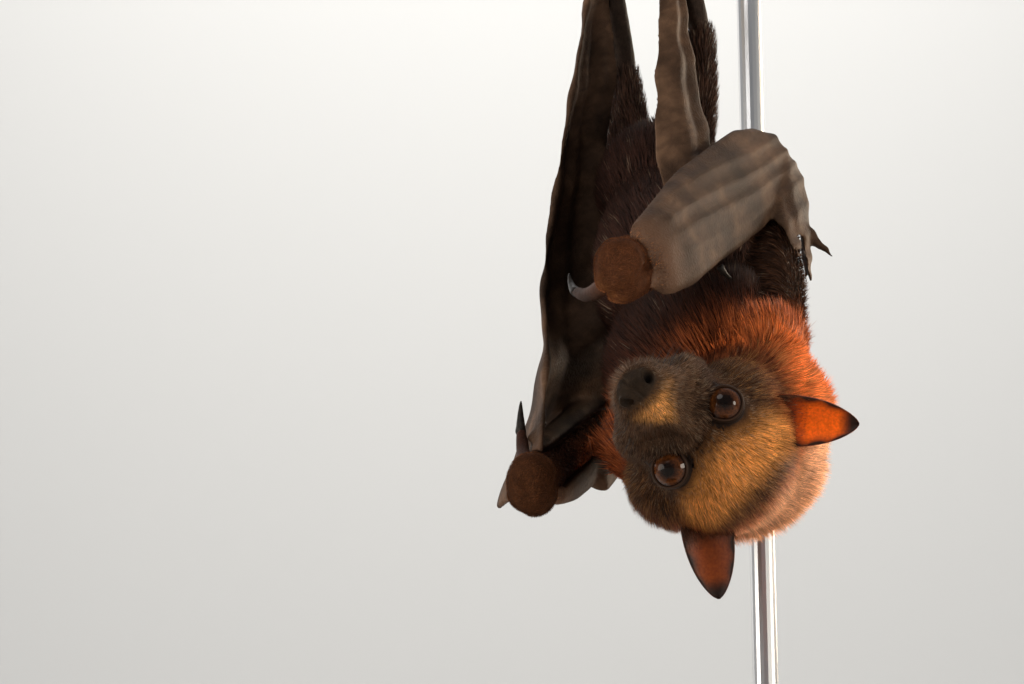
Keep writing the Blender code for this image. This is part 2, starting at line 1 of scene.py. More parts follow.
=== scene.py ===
# %% [markdown]
# # A fruit bat at rest
# This lesson dresses a life-size model of a small fruit bat, a little red flying fox, that hangs
# head down from a cut branch on a display stand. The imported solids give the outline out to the
# tips of the coat. Here the flesh becomes one soft skin inside that outline, the coat is laid over
# it as thousands of thin tufts, and the eyes, ears, wings, claws, branch and stand are finished.

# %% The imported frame
import math

import bmesh
import bpy
import numpy as np
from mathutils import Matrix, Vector
from mathutils.bvhtree import BVHTree


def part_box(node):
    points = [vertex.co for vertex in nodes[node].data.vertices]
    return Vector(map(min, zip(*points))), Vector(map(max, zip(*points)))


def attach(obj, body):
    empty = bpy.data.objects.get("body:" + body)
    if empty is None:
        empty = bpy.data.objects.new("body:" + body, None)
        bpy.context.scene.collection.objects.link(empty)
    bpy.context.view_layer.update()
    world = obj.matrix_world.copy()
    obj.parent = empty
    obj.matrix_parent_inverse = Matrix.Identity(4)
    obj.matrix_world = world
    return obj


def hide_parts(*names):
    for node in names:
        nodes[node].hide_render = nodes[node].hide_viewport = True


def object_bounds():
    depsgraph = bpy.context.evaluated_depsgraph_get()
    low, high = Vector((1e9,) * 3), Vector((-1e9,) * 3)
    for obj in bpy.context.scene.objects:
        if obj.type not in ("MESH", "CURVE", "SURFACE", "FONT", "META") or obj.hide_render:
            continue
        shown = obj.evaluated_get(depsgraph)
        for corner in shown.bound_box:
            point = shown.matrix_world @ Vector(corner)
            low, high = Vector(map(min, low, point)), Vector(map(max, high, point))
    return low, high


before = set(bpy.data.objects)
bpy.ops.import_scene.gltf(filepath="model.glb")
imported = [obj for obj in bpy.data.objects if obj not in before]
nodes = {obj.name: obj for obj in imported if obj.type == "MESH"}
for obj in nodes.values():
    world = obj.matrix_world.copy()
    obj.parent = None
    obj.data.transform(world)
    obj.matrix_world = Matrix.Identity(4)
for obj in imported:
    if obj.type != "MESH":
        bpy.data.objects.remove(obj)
cad_box = [list(corner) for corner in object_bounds()]
MM = 0.001
SIDES = {"left": 1.0, "right": -1.0}
print("nodes", len(nodes), "box", cad_box)

# %% [markdown]
# ## Directions on the body
# Every place on an animal is easier to name from the animal than from the room: so far ahead of
# the eyes, so far to its left, so far up. `Axes` keeps such a set of directions. The head is
# turned and the trunk hangs, so each has its own. The solids were drawn from the same values.


# %% Directions on the body
def unit(v):
    v = np.asarray(v, float)
    return v / np.maximum(np.linalg.norm(v, axis=-1, keepdims=True), 1e-12)


class Axes:
    """The directions of a part of the body. Places on it are millimetres ahead, left and up."""

    def __init__(self, ahead, left):
        self.ahead = unit(ahead)
        self.up = unit(np.cross(self.ahead, left))
        self.left = np.cross(self.up, self.ahead)
        self.origin = np.zeros(3)

    def along(self, ahead, left, up):
        return unit(self.ahead * ahead + self.left * left + self.up * up)

    def at(self, ahead, left, up):
        return self.origin + MM * (self.ahead * ahead + self.left * left + self.up * up)

    def read(self, points):
        away = (np.asarray(points) - self.origin) / MM
        return away @ self.ahead, away @ self.left, away @ self.up


def middle(node):
    low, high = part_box(node)
    return np.array((low + high) / 2)


HEAD = Axes((-0.385, -0.922, 0.053), (-0.640, 0.225, -0.736))
between_eyes = (middle("eye_left") + middle("eye_right")) / 2
HEAD.origin = between_eyes + MM * (HEAD.ahead * 1.0 + HEAD.up * 0.6)
TRUNK = Axes((-0.130, 0.490, 0.862), (-0.695, 0.575, -0.432))  # its "up" is the belly side
TRUNK.origin = np.array((6.8, -30.9, 250.7)) * MM
EYE_RADIUS = 5.6
print("between the eyes", HEAD.origin, "head's ahead", HEAD.ahead)

# %% [markdown]
# ## Camera
# The bat is seen from in front and a little below, as it is when it hangs in a tree. The camera
# is placed first.

# %% Camera
LOOK_UP = math.radians(17)
CAMERA_AWAY = 800 * MM
SENSOR = 36.0
VIEW_WIDTH = 276.5 * MM  # what the frame takes in, at the eyes
looking = np.array((0.0, math.cos(LOOK_UP), math.sin(LOOK_UP)))
frame_up = np.array((0.0, -math.sin(LOOK_UP), math.cos(LOOK_UP)))
FACE_AT = np.array((0.0, -0.080, 0.225))  # about between the eyes
AIM_ASIDE, AIM_UP = -0.0502, 0.0257  # metres from there to the middle of the frame
aim = FACE_AT + np.array((AIM_ASIDE, 0, 0)) + frame_up * AIM_UP
lens = bpy.data.cameras.new("camera")
lens.sensor_width = SENSOR
lens.lens = SENSOR * CAMERA_AWAY / VIEW_WIDTH
camera = bpy.data.objects.new("camera", lens)
camera.location = aim - looking * CAMERA_AWAY
camera.rotation_euler = (math.radians(90) + LOOK_UP, 0.0, 0.0)
bpy.context.scene.collection.objects.link(camera)
bpy.context.scene.camera = camera
print("camera at", tuple(round(v, 4) for v in camera.location), "lens", round(lens.lens, 1))

# %% [markdown]
# ## Helpers for meshes
# Meshes go back and forth between Blender and numpy here, because an array moves fifty thousand
# points at once. `mesh_arrays` reads a mesh, `piece_from` makes a new object from arrays, and
# `object_of` makes one from a bmesh, which is Blender's mesh for editing face by face.


# %% Helpers for meshes
def mesh_arrays(mesh):
    points = np.empty(len(mesh.vertices) * 3)
    mesh.vertices.foreach_get("co", points)
    normals = np.empty(len(mesh.vertices) * 3)
    mesh.vertex_normals.foreach_get("vector", normals)
    edges = np.empty(len(mesh.edges) * 2, int)
    mesh.edges.foreach_get("vertices", edges)
    return points.reshape(-1, 3), normals.reshape(-1, 3), edges.reshape(-1, 2)


def face_corners(obj):
    """The three points of each triangle of the object's mesh."""
    corners = np.empty(triangles(obj) * 3, int)
    obj.data.loop_triangles.foreach_get("vertices", corners)
    return corners.reshape(-1, 3)


def put_points(mesh, points):
    mesh.vertices.foreach_set("co", np.asarray(points, np.float32).ravel())
    mesh.update()


def piece_from(name, points, faces):
    """A new smooth object from points and faces, all of one size or a list of any."""
    mesh = bpy.data.meshes.new(name)
    if isinstance(faces, np.ndarray):
        mesh.vertices.add(len(points))
        mesh.vertices.foreach_set("co", np.asarray(points, np.float32).ravel())
        mesh.loops.add(faces.size)
        mesh.loops.foreach_set("vertex_index", faces.ravel().astype(np.int32))
        mesh.polygons.add(len(faces))
        starts = np.arange(0, faces.size, faces.shape[1], dtype=np.int32)
        mesh.polygons.foreach_set("loop_start", starts)
        mesh.update(calc_edges=True)
    else:
        mesh.from_pydata([tuple(p) for p in points], [], faces)
    mesh.shade_smooth()
    return linked(name, mesh)


def linked(name, mesh):
    made = bpy.data.objects.new(name, mesh)
    bpy.context.scene.collection.objects.link(made)
    return made


def object_of(name, bm):
    mesh = bpy.data.meshes.new(name)
    bm.to_mesh(mesh)
    bm.free()
    return linked(name, mesh)


def joined_copies(name, members, reshape):
    """Copies of these nodes in one object. reshape moves the points of each copy first."""
    whole = bmesh.new()
    for member in members:
        part = bmesh.new()
        part.from_mesh(nodes[member].data)
        bmesh.ops.remove_doubles(part, verts=part.verts, dist=1e-6)
        part.normal_update()
        reshape(part)
        copy = bpy.data.meshes.new("copy")
        part.to_mesh(copy)
        part.free()
        whole.from_mesh(copy)
        bpy.data.meshes.remove(copy)
    return object_of(name, whole)


def settled(obj):
    """Puts the result of the object's modifiers in its mesh, and takes the modifiers off."""
    graph = bpy.context.evaluated_depsgraph_get()
    graph.update()
    mesh = bpy.data.meshes.new_from_object(obj.evaluated_get(graph))
    old = obj.data
    obj.modifiers.clear()
    obj.data = mesh
    bpy.data.meshes.remove(old)
    mesh.name = obj.name
    mesh.shade_smooth()
    return obj


def triangles(obj):
    obj.data.calc_loop_triangles()
    return len(obj.data.loop_triangles)


# %% [markdown]
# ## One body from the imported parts
# The solids are parted by thin gaps, as a maker names them: head, neck, wrist and so on. A living
# skin has no such gaps. Each copy is let out by a third of a millimetre so that neighbours
# overlap, and Voxel Remesh then wraps all of them in one closed surface of even squares. The
# eyes are wrapped too, so that no hollow is left where their sockets are sunk later.


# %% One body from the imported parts
def wrapped(name, members, voxel, smooth, let_out=0.35):
    """One even closed mesh round copies of these nodes."""

    def reshape(part):
        for vert in part.verts:
            vert.co += vert.normal * let_out * MM

    made = joined_copies(name, members, reshape)
    remesh = made.modifiers.new("remesh", "REMESH")
    remesh.mode = "VOXEL"
    remesh.voxel_size = voxel * MM
    soften = made.modifiers.new("soften", "SMOOTH")
    soften.factor = 0.5
    soften.iterations = smooth
    return settled(made)


TRUNK_NODES = ["neck", "chest", "belly", "rump"]
FACE_NODES = ["head", "muzzle", "nose", "jaw"]
ARM_NODES = [f"{part}_{side}" for side in SIDES for part in ("upper_arm", "forearm", "wrist")]
LEG_NODES = [f"{part}_{side}" for side in SIDES for part in ("thigh", "shin", "foot")]
THUMB_NODES = [f"thumb_{side}" for side in SIDES]
EYE_NODES = [f"eye_{side}" for side in SIDES]
FLESH = FACE_NODES + TRUNK_NODES + ARM_NODES + LEG_NODES + THUMB_NODES
skin = wrapped("body_skin", FLESH + EYE_NODES, 0.85, 6)
thin = skin.modifiers.new("thin", "DECIMATE")
thin.ratio = 0.5
settled(skin)
print("skin", triangles(skin), "triangles")


# %% [markdown]
# ## A finer grid where the detail is
# The face needs folds a third of a millimetre wide, the back doesn't. Only the faces in front of
# the ears are divided again, and those round the nose once more.


# %% A finer grid where the detail is
def divided(obj, wanted):
    """Cuts each face whose middle is wanted into four."""
    bm = bmesh.new()
    bm.from_mesh(obj.data)
    centres = np.array([face.calc_center_median() for face in bm.faces])
    chosen = wanted(centres)
    edges = {edge for face, keep in zip(bm.faces, chosen) if keep for edge in face.edges}
    bmesh.ops.subdivide_edges(bm, edges=list(edges), cuts=1, use_grid_fill=True)
    bm.to_mesh(obj.data)
    bm.free()
    obj.data.shade_smooth()


def near_nose(points, reach):
    ahead, left, up = HEAD.read(points)
    return (ahead - 25) ** 2 + left**2 + (up + 13) ** 2 < reach**2


def face_front(points):
    ahead, left, up = HEAD.read(points)
    return (ahead > -9) & (abs(left) < 26) & (up > -30)


divided(skin, face_front)
divided(skin, lambda points: near_nose(points, 11.0))
print("skin", triangles(skin), "triangles")

# %% [markdown]
# ## What lies where
# Each point of the skin learns which part of the body it is on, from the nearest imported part.
# From that it gets the coat's depth there and the way the hair lies. Averaging these over
# neighbouring points turns hard borders into soft ones, as on a real animal.


# %% What lies where
def nearest_parts(points, members):
    """For each point, the index of the nearest of these nodes."""
    corners, faces, owners = [], [], []
    for index, member in enumerate(members):
        mesh = nodes[member].data
        start = len(corners)
        corners.extend(tuple(vert.co) for vert in mesh.vertices)
        for polygon in mesh.polygons:
            faces.append([start + k for k in polygon.vertices])
            owners.append(index)
    tree = BVHTree.FromPolygons(corners, faces)
    return np.array([owners[tree.find_nearest(Vector(point))[2]] for point in points])


def averaged(values, edges, rounds):
    """Each value moved towards those of its neighbours, this many times."""
    values = np.array(values, float)
    flat = values.reshape(len(values), -1)
    count = np.bincount(edges.ravel(), minlength=len(flat))[:, None]
    for _ in range(rounds):
        total = np.empty_like(flat)
        for column in range(flat.shape[1]):
            both = np.concatenate((flat[edges[:, 1], column], flat[edges[:, 0], column]))
            ends = np.concatenate((edges[:, 0], edges[:, 1]))
            total[:, column] = np.bincount(ends, weights=both, minlength=len(flat))
        flat = 0.4 * flat + 0.6 * total / np.maximum(count, 1)
    return flat.reshape(values.shape)


def step(value, start, end):
    """0 before start, 1 after end, and a smooth rise between them."""
    share = np.clip((value - start) / (end - start), 0, 1)
    return share * share * (3 - 2 * share)


def bump(away, width):
    """1 in the middle, and a soft fall to 0 at about twice this width."""
    return np.exp(-((away / width) ** 2))


points, normals, edges = mesh_arrays(skin.data)
part = nearest_parts(points, FLESH)
part_name = np.array(FLESH)[part]
COAT_DEPTH = {
    "head": 2.6,
    "muzzle": 0.7,
    "nose": 0.25,
    "jaw": 1.8,
    "neck": 2.9,
    "chest": 4.8,
    "belly": 4.0,
    "rump": 4.0,
    "upper_arm": 2.2,
    "forearm": 1.0,
    "wrist": 0.35,
    "thigh": 2.2,
    "shin": 0.5,
    "foot": 0.05,
    "thumb": 0.1,
}


def family(name):
    return name.removesuffix("_left").removesuffix("_right")


depth = np.array([COAT_DEPTH[family(name)] for name in part_name])
ahead, left, up = HEAD.read(points)
on_head = np.isin(part_name, FACE_NODES)
on_skull = part_name == "head"
skull_depth = 0.9 + 1.7 * step(-ahead, 0, 22) + 0.8 * step(-ahead, 26, 44)
depth = np.where(on_skull, skull_depth, depth)
facing_head = step(-(normals @ TRUNK.ahead), -0.3, 0.5) * (part_name == "neck")
depth = depth * (1 - 0.25 * facing_head)
for side in SIDES:
    near_eye = np.linalg.norm(points - middle(f"eye_{side}"), axis=1) / MM
    depth = depth * (0.2 + 0.8 * step(near_eye, 7.5, 13.0))
depth = averaged(depth, edges, 16) + 0.35
print("coat depth", depth.min().round(2), "to", depth.max().round(2), "mm")

# %% [markdown]
# ## The lie of the coat
# Hair on the face grows away from the nose. On the neck and trunk it lies towards the tail, on a
# limb towards the hand or foot. The directions are blended over the skin as the depth was.

# %% The lie of the coat
nose_place = middle("nose")


def limb_way(start, end):
    return unit(middle(end) - middle(start))


away_from_nose = unit(points - nose_place)
lie = np.zeros_like(points)
lie[on_head] = away_from_nose[on_head]
lie[np.isin(part_name, TRUNK_NODES)] = TRUNK.ahead
for side in SIDES:
    lie[part_name == f"upper_arm_{side}"] = limb_way(f"upper_arm_{side}", f"forearm_{side}")
    lie[part_name == f"forearm_{side}"] = limb_way(f"forearm_{side}", f"wrist_{side}")
    lie[part_name == f"wrist_{side}"] = limb_way(f"forearm_{side}", f"wrist_{side}")
    lie[part_name == f"thigh_{side}"] = limb_way(f"thigh_{side}", f"shin_{side}")
lie = unit(averaged(lie, edges, 24))
for side in SIDES:
    to_eye = middle(f"eye_{side}") - points
    near_eye = np.linalg.norm(to_eye, axis=1) / MM
    to_eye = unit(to_eye)
    towards = np.maximum((lie * to_eye).sum(axis=1), 0) * (1 - step(near_eye, 9, 16))
    lie = unit(lie - to_eye * (0.95 * towards)[:, None])  # the hair parts and flows round the eye
print("the lie runs over", len(lie), "points")

# %% [markdown]
# ## The skin under the coat
# The wrapped surface stands at the hair's tips. It is drawn in by the coat's depth, and smoothed
# so that folds don't cross. The creases between head and neck and under the jaw are filled: a
# point in a hollow lies behind the mean of its neighbours, and is moved out to it. A low pad on
# the nape then lets it run into the back of the head without a step.

# %% The skin under the coat
smooth_normals = unit(averaged(normals, edges, 3))
points = points - smooth_normals * (depth * MM)[:, None]
points = averaged(points, edges, 3)
nape_crease = step(-ahead, 16, 26) * (1 - step(-ahead, 54, 66)) * np.isin(part_name, ["head", "neck"])
jaw_crease = 0.8 * on_head * step(-up, 8, 14) * (1 - step(ahead, 14, 20)) * step(ahead, -20, -8)
fill = averaged(np.maximum(nape_crease, jaw_crease), edges, 12)[:, None]
for rounds in (220, 120, 60, 30):
    hollow = ((averaged(points, edges, rounds) - points) * smooth_normals).sum(axis=1)
    points = points + smooth_normals * np.maximum(hollow, 0)[:, None] * fill
points = averaged(points, edges, 2)
ahead, left, up = HEAD.read(points)
nape_pad = bump(ahead + 38, 11) * (1 - step(abs(left), 12, 24)) * step(up, -4, 5)
points = points + HEAD.up * (MM * 2.3 * nape_pad)[:, None]
put_points(skin.data, points)
print("drawn in by the coat")

# %% [markdown]
# ## Sockets, nose, mouth and wrists
# The forms of the face are sculpted by moving points: each form says where it is in the head's
# own directions, and how far its points move. The eyes' openings sink inside the eyeballs, and
# the lids, made later, cover their edges. A shallow saucer ahead of each eye keeps the side of the
# muzzle from hiding it. The nose pad is bare and turned a little to the left, with a groove down
# the middle and a low ring round each nostril. A valley parts the two rounds of each wrist.

# %% Sockets, nose, mouth and wrists
EYE_LOOKS = {side: HEAD.along(0.90, sign * 0.22, 0.35) for side, sign in SIDES.items()}
SOCKET_OPENS = {side: HEAD.along(0.90, sign * 0.06, 0.42) for side, sign in SIDES.items()}
SOCKET_FLOOR = 4.6  # how far from the eye's middle, inside the ball
SAUCER_RIM = (2.4, 6.2)  # how far before the eye's middle its rim lies, and how far aside
SAUCER_RISE = 0.55  # how fast the face may rise outside that rim
NOSTRIL = (26.0, 4.3, -9.8)  # ahead, to the side, up
NOSE_ASIDE = 1.2  # the nose is turned a little to the left, millimetres
NOSTRIL_LOOKS = (0.78, 0.62, 0.05)
KNUCKLE_VALLEY = {"left": 0.5, "right": 1.4}  # how deep, millimetres: the right wrist is bent further


def eye_angles(points, side):
    """The way to each point from the eye's middle, how far it is and its angle off the gaze."""
    away = (points - middle(f"eye_{side}")) / MM
    distance = np.linalg.norm(away, axis=1)
    off = np.degrees(np.arccos(np.clip(away @ EYE_LOOKS[side] / np.maximum(distance, 1e-9), -1, 1)))
    return away, distance, off


def beside_eye(points, side):
    """How far each point is before the eye's middle the way its socket opens, and how far aside."""
    away = (points - middle(f"eye_{side}")) / MM
    forward = away @ SOCKET_OPENS[side]
    return forward, np.sqrt(np.maximum((away**2).sum(axis=1) - forward**2, 0))


def sink_sockets(points):
    for side in SIDES:
        away, distance, off = eye_angles(points, side)
        share = 1.0 - step(off, 60, 90)
        near = distance < EYE_RADIUS + 7
        wanted = distance + (np.minimum(distance, SOCKET_FLOOR) - distance) * share
        moved = middle(f"eye_{side}") + MM * away / distance[:, None] * wanted[:, None]
        points = np.where((near & (off < 90))[:, None], moved, points)
        forward, aside = beside_eye(points, side)
        over = np.maximum(forward - SAUCER_RIM[0] - SAUCER_RISE * (aside - SAUCER_RIM[1]), 0)
        over *= (1 - step(aside, 9.0, 15)) * step(np.hypot(forward, aside), 4.8, 6.5)
        points = points - SOCKET_OPENS[side] * (MM * over)[:, None]
    return points


def nose_pad(points):
    """1 on the bare pad round the nostrils, 0 on the hairy skin."""
    ahead, left, up = HEAD.read(points)
    off = np.sqrt(((left - NOSE_ASIDE) / 6.6) ** 2 + ((up + 10.2) / 4.9) ** 2)
    return step(ahead, 22.0, 24.5) * (1 - step(off, 0.85, 1.1))


def sculpt_nose(points):
    ahead, left, _ = HEAD.read(points)
    for sign in SIDES.values():
        centre = HEAD.at(NOSTRIL[0], NOSE_ASIDE + sign * NOSTRIL[1], NOSTRIL[2])
        looks = HEAD.along(NOSTRIL_LOOKS[0], sign * NOSTRIL_LOOKS[1], NOSTRIL_LOOKS[2])
        away = (points - centre) / MM
        along = away @ looks
        aside = np.linalg.norm(away - along[:, None] * looks, axis=1)
        facing = step(along, -3.5, -0.5)
        ring = bump(aside - 1.8, 0.6) * 0.9 * facing
        hole = -bump(aside, 1.0) * 2.2 * facing
        points = points + looks * (MM * (ring + hole))[:, None]
    front = step(ahead, 22.5, 25.5)
    groove = bump(left - NOSE_ASIDE, 0.55) * 0.7 * front
    return points - HEAD.ahead * (MM * groove)[:, None]


def sculpt_mouth(points, normals):
    """The line between the lips, from under the nose to below the eye, with a soft lip above."""
    ahead, left, up = HEAD.read(points)
    line = -14.9 - 0.16 * (ahead - 8.0) + 0.0016 * np.clip(4.0 - ahead, 0, 30) ** 2
    reach = step(ahead, -9, -3) * step(abs(left), 0.5, 3.0)
    groove = bump(up - line, 0.45) * 0.9 * reach
    lip = bump(up - line - 1.3, 0.9) * 0.35 * reach
    return points + normals * (MM * (lip - groove))[:, None]


def sculpt_wrists(points, normals):
    """A shallow valley between the two rounds of each wrist, and one where it meets the forearm."""
    for side in SIDES:
        on_wrist = averaged(part_name == f"wrist_{side}", edges, 6)
        along = limb_way(f"forearm_{side}", f"wrist_{side}")
        across = unit(np.cross(along, looking))
        away = (points - middle(f"wrist_{side}")) / MM
        aside, reach = away @ across, away @ along
        valley = KNUCKLE_VALLEY[side] * bump(aside - 2.6 - 0.3 * reach, 1.7)
        valley += 0.7 * bump(reach + 5.0 + 0.2 * aside, 2.0)
        points = points - normals * (MM * valley * on_wrist)[:, None]
    return points


points, normals, edges = mesh_arrays(skin.data)
points = sink_sockets(points)
points = sculpt_nose(points)
points = sculpt_mouth(points, normals)
points = sculpt_wrists(points, normals)
put_points(skin.data, points)
print("face sculpted")

# %% [markdown]
# ## Markings
# The coat is dark grey-brown on the face and golden tan on the crown between eyes and ears,
# where part of the gold is painted sunlight. Behind it a band of painted shadow marks where the
# crown meets the nape. The nape is pinkish, the mantle rust red with painted backlight making it
# brightest beside the right ear, and the chest nearly black-brown. The sides of the jaw are dark
# rust, partly painted shade, and the throat and the neck beside the head carry painted shade. A
# patch on the bridge of the nose is partly painted sunlight, the wrists are lightened as painted
# sunlight, and painted shade fills the nostrils. Each patch is a soft weight in the head's or the
# trunk's directions. One function gives the colour for skin and hair alike, so that both carry the
# same markings.


# %% Markings
def tone(code):
    """An sRGB hex colour as linear red, green and blue."""
    parts = np.array([int(code[i : i + 2], 16) / 255 for i in (1, 3, 5)])
    return np.where(parts <= 0.04045, parts / 12.92, ((parts + 0.055) / 1.055) ** 2.4)


FUR = {
    "face": tone("#452c19"),
    # crown: partly the coat's own golden tan and partly painted sunlight
    "crown": tone("#d18c48"),
    # a band of painted shadow where the crown meets the nape
    "painted_shadow_band": tone("#3a2619"),
    "nape": tone("#c18a66"),
    "mantle": tone("#a3542c"),
    # dark rust of the jaw's sides, partly painted shade, and painted shadow on the neck beside the
    # head
    "cheek_and_shadow": tone("#55301d"),
    # throat: dark fur under the jaw, darkened further as painted shade
    "throat": tone("#33190e"),
    # painted backlight: the mantle beside the right ear, bright as if lit from behind
    "painted_backlight": tone("#c9662d"),
    "chest": tone("#2c160c"),
    "back": tone("#5c3019"),
    "belly": tone("#352018"),
    # wrist: lighter than the wrists' fur is, as painted sunlight
    "wrist": tone("#b57444"),
    "cuff": tone("#5f4738"),
    "ear": tone("#4a2814"),
    "forearm": tone("#42291a"),
    "thigh": tone("#402b20"),
    # bridge: partly tan fur and partly painted sunlight on the bridge of the nose
    "bridge": tone("#eda95e"),
    "socket": tone("#2b1c13"),
    "muzzle": tone("#4e3828"),
    "bare": tone("#2c211a"),
    "nose": tone("#261c13"),
    # painted shade inside the nostrils
    "painted_nostril_shade": tone("#0b0705"),
}


def laid(colours, code, weight):
    return colours + (FUR[code] - colours) * np.clip(weight, 0, 1)[:, None]


def coat_colour(points, names, parts_blend):
    """The coat's colour at each point. parts_blend is the colour of its part, already softened."""
    ahead, left, up = HEAD.read(points)
    tail, _, belly = TRUNK.read(points)
    colours = parts_blend.copy()
    head = step(np.isin(names, FACE_NODES).astype(float), 0.2, 0.8)
    collar = step(-ahead, 10, 26) * step(-belly, -24, -12)
    colours = laid(colours, "mantle", collar * step(-tail - 0.6 * belly, -16, 0))
    # Under the head the throat's dark fur is darkened further as painted shade.
    throat = (1 - step(-left, 2, 16)) * (1 - step(up, -6, 6)) * (1 - head)
    colours = laid(colours, "throat", 0.85 * throat * step(ahead, -48, -30))
    # Painted backlight: the mantle beside the right ear is made bright as if lit from behind.
    painted_backlight = step(-left, 15, 24) * step(-ahead, 17, 26) * (1 - step(up, 2, 10)) * step(-tail, 0, 10)
    colours = laid(colours, "painted_backlight", 0.85 * painted_backlight * (1 - head * (1 - step(-ahead, 20, 30))))
    # On the head this darkens the sides of the jaw, a dark rust that is partly painted shade. On the
    # neck beside the head the weight is painted shadow cast by the head.
    cheek_and_shadow = step(abs(left) - 0.25 * ahead, 24.5, 28) * step(-ahead, -2, 8) * step(up, -26, -12)
    behind, right = step(-ahead, 20, 28), step(-left, 8, 18)
    painted_head_shadow = (1 - behind) * right * (1 - step(up, 0, 6))
    cheek_and_shadow = np.where(head > 0.5, cheek_and_shadow * (1 - behind * right), painted_head_shadow)
    colours = laid(colours, "cheek_and_shadow", 0.9 * cheek_and_shadow)
    bowed = 0.033 * (left - 1.5) ** 2  # the bands on the crown bend back towards the ears
    # The crown's gold is partly the coat's own tan and partly painted sunlight.
    crown = bump(ahead + 5.0 + bowed, 5.9) * (1 - step(abs(left), 15, 21)) * step(up, 1, 7) * head
    colours = laid(colours, "crown", 1.25 * crown)
    # Painted shadow: a dark band where the crown meets the nape.
    painted_shadow_band = bump(ahead + 14.0 + bowed, 4.0) * (1 - step(abs(left), 14, 20)) * head
    colours = laid(colours, "painted_shadow_band", 0.9 * painted_shadow_band)
    nape = step(-ahead - bowed, 18, 24) * step(up, -3, 5) * step(-tail, -4, 6)
    colours = laid(colours, "nape", nape)
    for side in SIDES:
        near = np.linalg.norm(points - middle(f"eye_{side}"), axis=1) / MM
        colours = laid(colours, "socket", 0.8 * bump(near - 5, 3.2))
    # The golden patch on the bridge of the nose is partly tan fur and partly painted sunlight.
    middle_of_nose = left - NOSE_ASIDE
    bridge = bump(ahead - 17.2, 2.2) * bump(middle_of_nose, 2.8)
    bridge += 0.7 * bump(ahead - 20.5, 1.5) * bump(middle_of_nose, 5.6)
    colours = laid(colours, "bridge", bridge * step(up, -12, -7) * head)
    colours = laid(colours, "nose", nose_pad(points))
    # Painted shade: the insides of the nostrils are painted nearly black.
    for sign in SIDES.values():
        off = points - HEAD.at(NOSTRIL[0] - 0.4, NOSE_ASIDE + sign * NOSTRIL[1], NOSTRIL[2])
        colours = laid(colours, "painted_nostril_shade", 1.3 * bump(np.linalg.norm(off, axis=1) / MM, 1.35))
    return colours


PART_COLOUR = {
    "head": "face",
    "muzzle": "muzzle",
    "nose": "muzzle",
    "jaw": "muzzle",
    "neck": "back",
    "chest": "chest",
    "belly": "belly",
    "rump": "belly",
    "upper_arm": "forearm",
    "forearm": "forearm",
    "wrist": "wrist",
    "thigh": "thigh",
    "shin": "bare",
    "foot": "bare",
    "thumb": "bare",
}
points, normals, edges = mesh_arrays(skin.data)
part_colours = np.array([FUR[PART_COLOUR[family(name)]] for name in part_name])
part_colours = averaged(part_colours, edges, 30)
markings = averaged(coat_colour(points, part_name, part_colours), edges, 2)


def paint(obj, colours):
    """Colours for the points of a mesh, which a material reads as Tone."""
    layer = obj.data.attributes.new("Tone", "FLOAT_COLOR", "POINT")
    full = np.ones((len(colours), 4), np.float32)
    full[:, :3] = colours
    layer.data.foreach_set("color", full.ravel())


def number(obj, name, values):
    """A number for each point of a mesh, which a material reads by name."""
    layer = obj.data.attributes.new(name, "FLOAT", "POINT")
    layer.data.foreach_set("value", np.asarray(values, np.float32))


print("markings for", len(markings), "points")

# %% [markdown]
# ## Materials
# A material here is a Principled shader with a few nodes in front of it. `node` adds one node
# with its settings and links, which keeps each material short enough to read. The other helpers
# name what the materials share: a noise in the object's own place, a mix, a ramp, a relief.
# `dressed` gives a finished piece its material, hangs it on the root and hides the imported nodes
# that it stands for.


# %% A node with its settings
def node(material, kind, links=None, **settings):
    """Adds a shader node. Settings are its properties or inputs, links are its inputs' sources."""
    tree = material.node_tree
    made = tree.nodes.new("ShaderNode" + kind)
    for name, value in settings.items():
        title = name.replace("_", " ")
        socket = next((s for s in made.inputs if s.name.lower() == title.lower()), None)
        if socket is not None and not hasattr(made, name):
            socket.default_value = value
        else:
            setattr(made, name, value)
    for name, source in (links or {}).items():
        target = made.inputs[int(name)] if name.isdigit() else made.inputs[name]
        tree.links.new(source, target)
    return made


def finish_of(name, **settings):
    """A new material and its Principled shader, with these fixed values."""
    material = bpy.data.materials.new(name)
    material.use_nodes = True
    shader = material.node_tree.nodes["Principled BSDF"]
    for title, value in settings.items():
        shader.inputs[title.replace("_", " ")].default_value = value
    return material, shader


def coloured(material, shader, source):
    material.node_tree.links.new(source, shader.inputs["Base Color"])


def noise(material, scale, detail, place=None, **settings):
    """How the object's own place, or another, feels to a noise of this scale."""
    if place is None:
        place = node(material, "TexCoord").outputs["Object"]
    made = node(material, "TexNoise", {"Vector": place}, Scale=scale, Detail=detail, **settings)
    return made.outputs["Fac"]


def stretched(material, scale):
    """The object's own place, drawn out along its axes by these factors."""
    made = node(material, "Mapping", {"Vector": node(material, "TexCoord").outputs["Object"]})
    made.inputs["Scale"].default_value = scale
    return made.outputs["Vector"]


def kept(material, name):
    """A number that was kept for each point of the mesh."""
    return node(material, "Attribute", attribute_name=name).outputs["Fac"]


def mixed(material, factor, first, second, blend="MIX"):
    """Two colours mixed. Each of the three is a fixed value or the output of another node."""
    made = node(material, "Mix", data_type="RGBA", blend_type=blend)
    for place, value in ((0, factor), (6, first), (7, second)):
        if isinstance(value, bpy.types.NodeSocket):
            material.node_tree.links.new(value, made.inputs[place])
        else:
            made.inputs[place].default_value = value
    return made.outputs[2]


def grey(value):
    return (value,) * 3


def solid(code):
    return (*tone(code), 1.0)


def give(obj, material):
    obj.data.materials.clear()
    obj.data.materials.append(material)


def dressed(obj, material, slot, *replaced):
    """Finishes a piece: its material, what it rides on and the nodes it stands for, which it hides.
    The slot is not used.
    """
    give(obj, material)
    if replaced:
        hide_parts(*replaced)
    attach(obj, "root")


